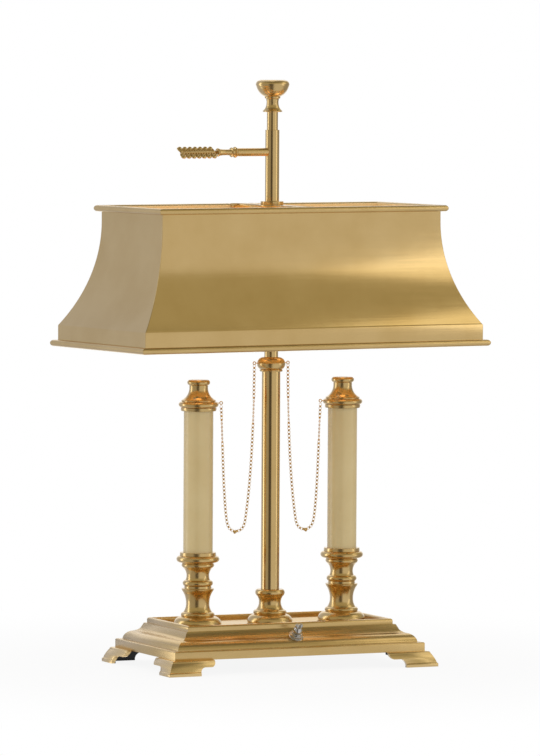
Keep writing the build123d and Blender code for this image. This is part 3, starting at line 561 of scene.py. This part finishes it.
def ivory_tube(name, colour):
    """Moulded ivory with faint lengthwise drawing lines and a soft gloss."""
    material = new_material(name, Coat_Weight=0.35, Coat_Roughness=0.12)
    drawn = grouped(material, "Brushed Lines", Lines_per_Metre=(420.0, 420.0, 6.0), Contrast=1.2)
    cloudy = grouped(material, "Lacquer Haze", Patches_per_Metre=22.0, Amount=0.7)
    tint(material, cloudy, colour, (colour[0] * 0.92, colour[1] * 0.88, colour[2] * 0.8))
    gloss_and_grain(material, drawn, 0.28, 0.4, 0.05, 0.1 * MM)
    return material


def bulb_glass(name, glow, strength):
    """Frosted glass with the light of the lamp inside it."""
    material = new_material(
        name, Base_Color=(0.30, 0.26, 0.20, 1.0), Roughness=0.35, Emission_Strength=strength
    )
    cloudy = grouped(material, "Lacquer Haze", Patches_per_Metre=60.0, Amount=0.5)
    tint(material, cloudy, glow, (glow[0], glow[1] * 1.2, glow[2] * 1.5), "Emission Color")
    return material


def dark_coat(name, colour, roughness, grains):
    """A black coat with a fine uneven grain."""
    material = new_material(name)
    grainy = grouped(material, "Brushed Lines", Lines_per_Metre=(grains, grains, grains), Contrast=1.5)
    tint(material, grainy, colour, [part * 2 for part in colour])
    gloss_and_grain(material, grainy, roughness - 0.1, roughness + 0.1, 0.2, 0.1 * MM)
    return material


def finishes():
    """Makes each finish of the lamp once and returns them by name."""
    if "Brushed Lines" not in bpy.data.node_groups:
        brushed_lines_group()
        haze_group()
        foot_inner_black_group()
        inner_faces_group()
    brass, light = bpy.context.scene.lamp_brass, bpy.context.scene.lamp_light
    clean, deep = tuple(brass.colour), tuple(brass.deep_colour)
    rough, grain, lacquer = brass.roughness, brass.grain, brass.lacquer
    black, shade_gold = (0.012, 0.012, 0.012), (0.78, 0.58, 0.28)
    made = bpy.data.materials

    def once(name, maker, *values, **more):
        return made[name] if name in made else maker(name, *values, **more)

    return {
        "sheet": once("satin brass sheet", lined_brass, "Inner Faces", shade_gold, clean, deep, rough,
                      spread=0.05, grain=grain, lines=(10.0, 10.0, 520.0), lacquer=lacquer),
        "turned": once("satin brass turned", metal, clean, deep, rough + 0.1, spread=0.03, grain=grain * 0.2,
                       lines=(60.0, 60.0, 1500.0), lacquer=lacquer, patches=30.0),
        "cast": once("satin brass cast", metal, clean, deep, rough + 0.14, spread=0.04, grain=grain * 0.1,
                     lines=(14.0, 14.0, 900.0), lacquer=lacquer),
        # The feet's brass colour is lighter than the rest of the brass: a painted highlight for the light that
        # falls on the feet. Their inner faces are made black.
        "foot": once("satin brass foot", lined_brass, "Foot Lining", black, (0.93, 0.67, 0.31), clean,
                     rough + 0.14, spread=0.04, grain=grain * 0.1, lines=(14.0, 14.0, 900.0), lacquer=lacquer),
        "wire": once("satin brass wire", metal, clean, deep, rough + 0.08, spread=0.04, grain=grain * 0.6,
                     lines=(40.0, 40.0, 900.0), lacquer=lacquer),
        "rod": once("satin brass rod", metal, clean, deep, rough, spread=0.03, grain=grain * 0.1,
                    lines=(700.0, 700.0, 12.0), lacquer=lacquer),
        "chain": once("chain brass", metal, (0.95, 0.63, 0.22), (0.80, 0.49, 0.15), 0.3, spread=0.05,
                      grain=0.05, lines=(900.0, 900.0, 900.0), haze=0.8, patches=90.0),
        "nickel": once("polished nickel", metal, (0.72, 0.69, 0.65), (0.40, 0.37, 0.34), 0.1, spread=0.04,
                       grain=0.03, lines=(400.0, 400.0, 1600.0), haze=0.5, patches=60.0),
        "zinc": once("zinc plated steel", metal, (0.60, 0.61, 0.60), (0.45, 0.46, 0.45), 0.38, spread=0.08,
                     grain=0.1, lines=(500.0, 500.0, 500.0), haze=0.8, patches=120.0),
        "cap": once("bulb cap aluminium", metal, (0.78, 0.78, 0.79), (0.6, 0.6, 0.61), 0.3, spread=0.05,
                    grain=0.05, lines=(60.0, 60.0, 900.0)),
        "ivory": once("ivory tube", ivory_tube, tuple(light.ivory)),
        "glass": once("frosted bulb glass", bulb_glass, tuple(light.glow), light.strength),
        "paint": once("matte black paint", dark_coat, black, roughness=0.55, grains=900.0),
        "plastic": once("black moulded plastic", dark_coat, (0.02, 0.02, 0.02), roughness=0.4, grains=500.0),
    }


# ---------------------------------------------------------------- stage
def soft_box(name, angle, elevation, distance, width, height, lean, brightness, colour):
    """A soft box that faces the middle of the lamp, placed by its angle round the lamp from the front (-Y)."""
    data = bpy.data.lights.new(name, "AREA")
    data.shape = "RECTANGLE"
    data.size, data.size_y = width, height
    data.energy = brightness * pi * width * height
    data.color = colour
    light = bpy.data.objects.new(name, data)
    level = cos(elevation)
    away = Vector((sin(angle) * level, -cos(angle) * level, sin(elevation)))
    light.location = Vector((0.0, 0.0, LAMP_MIDDLE)) + away * distance
    turn = away.to_track_quat("Z", "Y").to_matrix() @ Matrix.Rotation(lean, 3, "Z")
    light.rotation_euler = turn.to_euler()
    light.visible_camera = False
    bpy.context.scene.collection.objects.link(light)


def studio_world(settings):
    """A white studio to the camera. Its metal sees grey walls, a white backdrop and a darker ceiling."""
    world = bpy.data.worlds.new("white studio")
    bpy.context.scene.world = world
    world.use_nodes = True
    tree = world.node_tree
    place = tree.nodes.new("ShaderNodeTexCoord").outputs["Generated"]
    flat = maths(tree, "VectorMath", "MULTIPLY", place, (1.0, 1.0, 0.0))
    level = maths(tree, "VectorMath", "NORMALIZE", flat)
    split = tree.nodes.new("ShaderNodeSeparateXYZ")
    tree.links.new(place, split.inputs[0])
    path = tree.nodes.new("ShaderNodeLightPath").outputs

    def wall(angle, inner, outer):
        """1 within the inner angle of a way round from the camera's, and 0 beyond the outer angle."""
        way = settings.angle + radians(angle)
        towards = maths(tree, "VectorMath", "DOT_PRODUCT", level, (sin(way), -cos(way), 0.0))
        return smooth_step(tree, towards, cos(radians(outer)), cos(radians(inner)))

    def above(low, high):
        """1 above the high elevation, and 0 below the low one."""
        return smooth_step(tree, split.outputs["Z"], sin(radians(low)), sin(radians(high)))

    ceiling = [settings.ceiling * part for part in (1.0, 0.94, 0.68)]
    zenith = [part * 0.38 for part in ceiling]
    white = (1.0, 1.0, 1.0)
    colour = [settings.walls] * 3
    for mask, shade in (
        (wall(-48, 24, 46), (0.40, 0.39, 0.37)),
        (wall(-8, 7, 22), (0.09, 0.08, 0.07)),
        (wall(122, 22, 34), (0.34, 0.33, 0.32)),
        (above(18, 20), ceiling),
        (above(42, 62), zenith),
        (wall(-126, 22, 30), (0.49, 0.52, 0.62)),
        (wall(180, 16, 30), white),
        (path["Is Diffuse Ray"], white),
        (path["Is Camera Ray"], white),
    ):
        colour = colour_mix(tree, mask, colour, shade)
    tree.links.new(colour, tree.nodes["Background"].inputs["Color"])


def pale_floor(settings):
    """A white floor that shows only a soft shadow under the lamp, and that metal does not reflect."""
    mesh = bpy.data.meshes.new("floor")
    mesh.from_pydata([(-1, -1, 0), (1, -1, 0), (1, 1, 0), (-1, 1, 0)], [], [(0, 1, 2, 3)])
    floor = bpy.data.objects.new("floor", mesh)
    floor.location.z = -0.0002
    bpy.context.scene.collection.objects.link(floor)
    material = new_material("white floor", Base_Color=(*settings.floor_colour, 1.0), Roughness=0.9)
    tree = material.node_tree
    path = tree.nodes.new("ShaderNodeLightPath").outputs
    white = tree.nodes.new("ShaderNodeEmission").outputs[0]
    clear = tree.nodes.new("ShaderNodeBsdfTransparent").outputs[0]
    reach = maths(tree, "VectorMath", "LENGTH", tree.nodes.new("ShaderNodeTexCoord").outputs["Object"])
    shadow_edge, white_from, least_white = 0.2, 0.7, 0.9
    part = maths(tree, "Math", "MULTIPLY", path["Is Camera Ray"],
                 smooth_step(tree, reach, shadow_edge, white_from, least_white))
    seen = shader_mix(tree, part, tree.nodes["Principled BSDF"].outputs[0], white)
    surface = shader_mix(tree, path["Is Glossy Ray"], seen, clear)
    tree.links.new(surface, tree.nodes["Material Output"].inputs["Surface"])
    mesh.materials.append(material)


class LAMP_OT_stage(Operator):
    """Sets up the camera, the white floor and the studio lights"""

    bl_idname = "lamp.stage"
    bl_label = "Stage"

    def execute(self, context):
        settings = context.scene.lamp_stage
        camera = bpy.data.objects.new("camera", bpy.data.cameras.new("camera"))
        context.scene.collection.objects.link(camera)
        context.scene.camera = camera
        camera.data.lens = settings.lens
        camera.data.clip_start, camera.data.clip_end = 0.1, 40.0
        camera.location = (
            sin(settings.angle) * settings.distance,
            -cos(settings.angle) * settings.distance,
            settings.height,
        )
        turn = Matrix.Rotation(settings.angle + settings.aim, 4, "Z")
        tip = Matrix.Rotation(radians(90) - settings.pitch, 4, "X")
        roll = Matrix.Rotation(settings.roll, 4, "Z")
        camera.rotation_euler = (turn @ tip @ roll).to_euler()
        context.scene.view_settings.view_transform = "Standard"
        studio_world(settings)
        pale_floor(settings)
        for name, angle, elevation, distance, width, height, lean, share, colour in (
            ("right soft box", 76.2, 6.5, 1.8, 0.30, 1.25, 23, 0.50, (1.0, 0.98, 0.97)),
            ("left soft box", -97, 8, 2.2, 0.5, 2.4, 0, 1.0, (0.97, 0.98, 1.0)),
            ("high soft box", 93, 36, 1.6, 0.7, 0.7, 0, 0.42, (1.0, 0.97, 0.88)),
        ):
            soft_box(name, settings.angle + radians(angle), radians(elevation), distance, width, height,
                     radians(lean), share * settings.boxes, colour)
        return {"FINISHED"}


# ---------------------------------------------------------------- chains
def route_points(name, points):
    """Points along the smooth line that hangs through a route."""
    curve = bpy.data.curves.new(name, "CURVE")
    curve.dimensions = "3D"
    curve.resolution_u = 24
    spline = curve.splines.new("NURBS")
    spline.points.add(len(points) - 1)
    for point, place in zip(spline.points, points):
        point.co = (*place, 1.0)
    spline.order_u = 3
    spline.use_endpoint_u = True
    holder = bpy.data.objects.new(name, curve)
    bpy.context.scene.collection.objects.link(holder)
    mesh = bpy.data.meshes.new_from_object(holder.evaluated_get(bpy.context.evaluated_depsgraph_get()))
    line = [vertex.co.copy() for vertex in mesh.vertices]
    bpy.data.objects.remove(holder)
    bpy.data.curves.remove(curve)
    bpy.data.meshes.remove(mesh)
    return line


def along(line, pitch):
    """(place, direction) at even steps along a line."""
    steps, carried = [], pitch / 2
    for start, end in zip(line, line[1:]):
        run = end - start
        while carried <= run.length:
            steps.append((start + run.normalized() * carried, run.normalized()))
            carried += pitch
        carried -= run.length
    return steps


def add_link(work, place, way, roll, length, width, wire, band):
    """One link, with its outside length and width. It shows its opening to the camera when the roll is 0."""
    sides_round, sides_of_wire = 16, 8
    view = bpy.context.scene.lamp_stage.angle
    side = way.cross(Vector((sin(view), -cos(view), 0))).normalized()
    across = Matrix.Rotation(roll, 3, way) @ side
    through = way.cross(across)
    loops = []
    for turn in range(sides_round):
        a = 2 * pi * turn / sides_round
        spoke = way * cos(a) * (length - wire) / 2 + across * sin(a) * (width - wire) / 2
        out = spoke.normalized()
        loops.append([
            work.verts.new(place + spoke + out * wire / 2 * cos(b) + through * band / 2 * sin(b))
            for b in (2 * pi * step / sides_of_wire for step in range(sides_of_wire))
        ])
    for loop, following in zip(loops, loops[1:] + loops[:1]):
        for index in range(sides_of_wire):
            onward = (index + 1) % sides_of_wire
            work.faces.new((loop[index], loop[onward], following[onward], following[index]))


class LAMP_OT_chains(Operator):
    """Hangs the two link chains from the collar to the caps"""

    bl_idname = "lamp.chains"
    bl_label = "Chains"

    def execute(self, context):
        finish = finishes()
        sizes = context.scene.lamp_chain
        for side, mirrored in SIDES:
            line = route_points(f"chain line {side}", [(mirrored * x, 0.0, z) for x, z in CHAIN_ROUTE])
            work = bmesh.new()
            for index, (place, way) in enumerate(along(line, sizes.pitch)):
                low, high = TURNED_BY_CAP if abs(place.x) > CHAIN_BOTTOM else TURNED_BY_COLLAR
                share = min(1.0, (place.z - low) / TURN_FADE, (high - place.z) / TURN_FADE)
                turned = max(0.0, share) * sizes.twist
                if index % 2:
                    length, width, band, turned = sizes.link, sizes.link * 0.8, sizes.band, turned + pi / 2
                else:
                    length, width, band = sizes.ring, sizes.ring, sizes.wire
                add_link(work, place, way, turned, length, width, sizes.wire, band)
            bmesh.ops.recalc_face_normals(work, faces=work.faces)
            mesh = bpy.data.meshes.new(f"link_chain_{side}")
            work.to_mesh(mesh)
            work.free()
            chain = piece_from(f"link_chain_{side}", mesh, None, finish["chain"], "chain_brass",
                               f"chain_{side}", angle=80)
            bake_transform(chain)
            low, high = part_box(f"chain_connector_{side}")
            middle = (low + high) / 2
            way = Vector((mirrored, 0.0, 0.6)).normalized()
            half_length = 3.2 * MM
            mesh = lathe(f"clasp_{side}", turned_outline("clasp"), middle - way * half_length, way, 20)
            piece_from(f"clasp_{side}", mesh, "stand", finish["turned"], "chain_brass",
                       f"chain_connector_{side}")
        return {"FINISHED"}


# ---------------------------------------------------------------- base and column
class LAMP_OT_base(Operator):
    """Finishes the tray base, its feet and what is under it"""

    bl_idname = "lamp.base"
    bl_label = "Base"

    def execute(self, context):
        finish = finishes()
        finish_node("base_casting", finish["cast"], 0.35 * MM, 28)
        for corner in ("front_left", "front_right", "rear_left", "rear_right"):
            finish_node(f"foot_{corner}", finish["foot"], 0.35 * MM, 28)
        finish_node("base_plate", finish["paint"], 0.2 * MM)
        finish_node("base_plate_screws", finish["zinc"], 0.2 * MM)
        finish_node("cord_bushing", finish["plastic"], 0.2 * MM)
        for name in ("centre_nut", "washers", "candle_nuts", "centre_pipe"):
            finish_node(name, finish["zinc"], 0.15 * MM)
        return {"FINISHED"}


class LAMP_OT_column(Operator):
    """Finishes the column, its foot and its collar"""

    bl_idname = "lamp.column"
    bl_label = "Column"

    def execute(self, context):
        finish = finishes()
        for name in ("column_foot", "collar"):
            turned_piece(name, name, "stand", finish["turned"])
        for name in ("column_tube", "stem_tube"):
            plain_rod(name, "stand", finish["rod"])
        finish_node("cluster_body", finish["rod"], 0.15 * MM)
        for side, _ in SIDES:
            finish_node(f"collar_eye_{side}", finish["chain"])
        return {"FINISHED"}


class LAMP_OT_candles(Operator):
    """Finishes the candle cups, the ivory tubes and the caps"""

    bl_idname = "lamp.candles"
    bl_label = "Candles"

    def execute(self, context):
        finish = finishes()
        for side, _ in SIDES:
            turned_piece(f"candle_cup_{side}", "candle_cup", "stand", finish["turned"])
            plain_rod(f"candle_tube_{side}", "stand", finish["ivory"], "ivory_tube", 0.2 * MM)
            turned_piece(f"cap_{side}", "cap", f"cap_{side}", finish["turned"])
            finish_node(f"candle_stud_{side}", finish["zinc"])
            finish_node(f"cap_eye_{side}", finish["chain"])
        return {"FINISHED"}


# ---------------------------------------------------------------- shade
class LAMP_OT_shade(Operator):
    """Makes the mitred sheet of the shade and the wire beads round its edges"""

    bl_idname = "lamp.shade"
    bl_label = "Shade"

    def execute(self, context):
        finish = finishes()
        half_length, half_width, sheet = 181.6 * MM, 68.8 * MM, 1.2 * MM
        flare_at_ends, flare_at_sides, flare_height = 38.6 * MM, 30.4 * MM, 117.2 * MM
        low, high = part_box("shade_front")
        top, bottom = high.z, low.z
        waist, knee = top - 16.5 * MM, bottom + 20.2 * MM
        # The flare is one cubic curve, from the knee over the band up to the waist under the upright strip.
        guides = (
            (1.0, knee), (0.35, knee + 0.29 * flare_height), (0.0, waist - 0.36 * flare_height), (0.0, waist),
        )
        profile = [(1.0, bottom)]
        steps = 48
        for step in range(steps + 1):
            t = step / steps
            weights = ((1 - t) ** 3, 3 * t * (1 - t) ** 2, 3 * t * t * (1 - t), t**3)
            profile.append(tuple(sum(w * guide[axis] for w, guide in zip(weights, guides)) for axis in (0, 1)))
        profile.append((0.0, top))
        outside = [(share * flare_at_ends, share * flare_at_sides, height) for share, height in profile]
        inside = [(out_x - sheet, out_y - sheet, height) for out_x, out_y, height in reversed(outside)]
        mesh = mitred_ring("shade_sheet", outside + inside, half_length, half_width, SWIVEL)
        piece_from("shade_sheet", mesh, "shade", finish["sheet"], "satin_brass", "shade_front", "shade_rear",
                   "shade_left", "shade_right", bevel=0.45 * MM, angle=30)
        # The beads are round, less the flat by which they sit against the sheet.
        wire, seat, steps = 3.6 * MM, 3.1 * MM, 20
        flat = acos(seat / wire)
        for name, share, height in (("top", 0.0, top - 2.0 * MM), ("bottom", 1.0, bottom)):
            section = []
            for step in range(steps + 1):
                a = -pi + flat + (2 * pi - 2 * flat) * step / steps
                out = seat + wire * cos(a)
                rise = height + wire * sin(a)
                section.append((share * flare_at_ends + out, share * flare_at_sides + out, rise))
            mesh = mitred_ring(f"shade_{name}_wire", section, half_length, half_width, SWIVEL)
            piece_from(f"shade_{name}_wire", mesh, "shade", finish["wire"], "satin_brass",
                       f"shade_{name}_bead", bevel=0.5 * MM, angle=50)
        finish_node("spider", finish["cast"], 0.3 * MM)
        finish_node("shade_nut", finish["cast"], 0.3 * MM)
        return {"FINISHED"}


# ---------------------------------------------------------------- rod, sleeve and key
def add_barb(work, root, tip, width, thick, across):
    """One rounded barb of the feather, from its root to its tip, with its half width and half thickness."""
    way = tip - root
    side = way.normalized().cross(across)
    shape = Matrix(((*(way / 2),), (*(side * width),), (*(across * thick),))).transposed().to_4x4()
    bmesh.ops.create_uvsphere(
        work, u_segments=20, v_segments=14, radius=1.0, matrix=Matrix.Translation((root + tip) / 2) @ shape
    )


def feather_mesh(neck, out, sizes):
    """The feather of the key, from its neck outwards."""
    level = out.cross(UP)
    far = level * cos(sizes.tilt) + UP * sin(sizes.tilt)
    face = out.cross(far)
    pitch, reach = sizes.pitch / MM, sizes.reach / MM
    work = bmesh.new()

    def barb(start, end, width, thick):
        """Adds a barb between two places, as millimetres outwards from the neck and across it."""
        root, tip = (neck + out * place[0] * MM + far * place[1] * MM for place in (start, end))
        add_barb(work, root, tip, width * MM, thick * MM, face)

    edges = (-1, 1)
    for index in range(2 * sizes.barbs):
        ridge = 2.4 + index * pitch / 2
        for edge in edges:
            barb((ridge, 0.0), (ridge + 3.2, edge * (reach - 1.6)), 1.25, 1.5)
    for index in range(sizes.barbs):
        middle = 5.9 + index * pitch
        for edge, width in zip(edges, (2.9, 2.4)):
            barb((middle, edge * (reach - 5.3)), (middle, edge * (reach - 0.1)), width, 1.9)
    for edge, fork in zip(edges, (5.0, 7.6)):
        barb((44.2, 0.0), (48.6, edge * fork), 2.0, 1.5)
    vane, rachis = (-1.0, 47.6), (-3.0, 48.0)
    for (start, end), width, thick in ((vane, 6.6, 0.55), (rachis, 1.5, 2.2)):
        barb((start, 0.0), (end, 0.0), width, thick)
    mesh = bpy.data.meshes.new("feather")
    work.to_mesh(mesh)
    work.free()
    return mesh


class LAMP_OT_key(Operator):
    """Finishes the rod, finial and sleeve, and makes the feather of the key"""

    bl_idname = "lamp.key"
    bl_label = "Key"

    def execute(self, context):
        finish = finishes()
        plain_rod("upper_rod", "mast", finish["rod"])
        turned_piece("finial", "finial", "mast", finish["turned"])
        finish_node("key_screw", finish["turned"])
        low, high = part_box("key_collar")
        axis = Vector((0.0, 0.0, (low.z + high.z) / 2))
        out = Vector((-cos(SWIVEL), -sin(SWIVEL), 0.0))
        low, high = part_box("sleeve")
        shoulder, flange = 8.0 * MM, 13.0 * MM
        flange_top = axis.z - 55.4 * MM
        flange_foot = flange_top - 4.0 * MM
        outline = [(shoulder, low.z), (shoulder, flange_foot), (flange, flange_foot), (flange, flange_top),
                   (shoulder, flange_top), (shoulder, high.z)]
        piece_from("sleeve_turned", lathe("sleeve_turned", outline), "shade", finish["rod"], "satin_brass",
                   "sleeve", bevel=0.35 * MM)
        arm_radius, arm_start, arm_length, collar_gap = 4.6 * MM, 7.0 * MM, 40.0 * MM, 0.3 * MM
        outline = [(arm_radius, 0.0), (arm_radius, arm_length)]
        arm = lathe("key_arm_drawn", outline, axis + out * arm_start, out, 48)
        piece_from("key_arm_drawn", arm, "shade", finish["turned"], "satin_brass", "key_arm", bevel=0.4 * MM)
        foot = axis + out * (arm_start + arm_length + collar_gap)
        collar_length = 25.0 * MM
        collar = lathe("key_collar_turned", turned_outline("key_collar"), foot, out, 48)
        piece_from("key_collar_turned", collar, "key", finish["turned"], "satin_brass", "key_collar",
                   bevel=0.25 * MM, angle=24)
        mesh = feather_mesh(foot + out * collar_length, out, context.scene.lamp_key)
        piece_from("feather", mesh, "key", finish["turned"], "satin_brass", "key_feather", angle=60)
        return {"FINISHED"}


# ---------------------------------------------------------------- switch and lights
class LAMP_OT_switch(Operator):
    """Finishes the turn switch"""

    bl_idname = "lamp.switch"
    bl_label = "Switch"

    def execute(self, context):
        finish = finishes()
        for name in ("switch_nut", "switch_ring", "switch_bushing"):
            finish_node(name, finish["nickel"], 0.2 * MM)
        way = Vector((0.0, -cos(SWITCH_TILT), sin(SWITCH_TILT)))
        low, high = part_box("switch_ring")
        half_ring, knob_rise, wing_rise = 0.8 * MM, 6.4 * MM, 12.6 * MM
        seat = (low + high) / 2 - way * half_ring
        knob = lathe("knob", turned_outline("switch_knob"), seat + way * knob_rise, way, 40)
        work = bmesh.new()
        work.from_mesh(knob)
        aside = Vector((1.0, 0.0, 0.0))
        wing_place, wing_length, wing_lean = 1.8 * MM, 6.0 * MM, 0.16
        for edge in (-1, 1):
            lean = (way + aside * edge * wing_lean).normalized()
            root = seat + way * wing_rise + aside * edge * wing_place
            add_barb(work, root, root + lean * wing_length, 2.4 * MM, 2.3 * MM, aside.cross(way).normalized())
        work.to_mesh(knob)
        work.free()
        piece_from("turn_knob", knob, "switch", finish["nickel"], "nickel", "switch_knob", bevel=0.15 * MM)
        finish_node("switch_body", finish["plastic"], 0.2 * MM)
        return {"FINISHED"}


class LAMP_OT_lights(Operator):
    """Finishes the sockets and lights the bulbs"""

    bl_idname = "lamp.lights"
    bl_label = "Lights"

    def execute(self, context):
        finish = finishes()
        for side, _ in SIDES:
            finish_node(f"socket_{side}", finish["turned"], 0.2 * MM)
            finish_node(f"bulb_base_{side}", finish["cap"])
            finish_node(f"bulb_{side}", finish["glass"])
        return {"FINISHED"}


class LAMP_PT_panel(Panel):
    bl_idname = "LAMP_PT_panel"
    bl_label = "Bouillotte Lamp"
    bl_space_type = "VIEW_3D"
    bl_region_type = "UI"
    bl_category = "Lamp"

    def draw(self, context):
        for operator in OPERATORS:
            self.layout.operator(operator.bl_idname)
        for title in SETTINGS:
            box = self.layout.box()
            group = getattr(context.scene, title)
            for field in group.__annotations__:
                box.prop(group, field)


SETTINGS = {
    "lamp_stage": StageSettings,
    "lamp_brass": BrassFinish,
    "lamp_chain": ChainSizes,
    "lamp_key": KeySizes,
    "lamp_light": LightFinish,
}
OPERATORS = (
    LAMP_OT_stage,
    LAMP_OT_chains,
    LAMP_OT_base,
    LAMP_OT_column,
    LAMP_OT_candles,
    LAMP_OT_shade,
    LAMP_OT_key,
    LAMP_OT_switch,
    LAMP_OT_lights,
)
CLASSES = (*SETTINGS.values(), *OPERATORS, LAMP_PT_panel)


def register():
    for entry in CLASSES:
        bpy.utils.register_class(entry)
    for title, group in SETTINGS.items():
        setattr(bpy.types.Scene, title, PointerProperty(type=group))


def unregister():
    for title in SETTINGS:
        delattr(bpy.types.Scene, title)
    for entry in reversed(CLASSES):
        bpy.utils.unregister_class(entry)


def main():
    register()
    for operator in OPERATORS:
        group, action = operator.bl_idname.split(".")
        getattr(getattr(bpy.ops, group), action)()


if __name__ == "__main__":
    main()
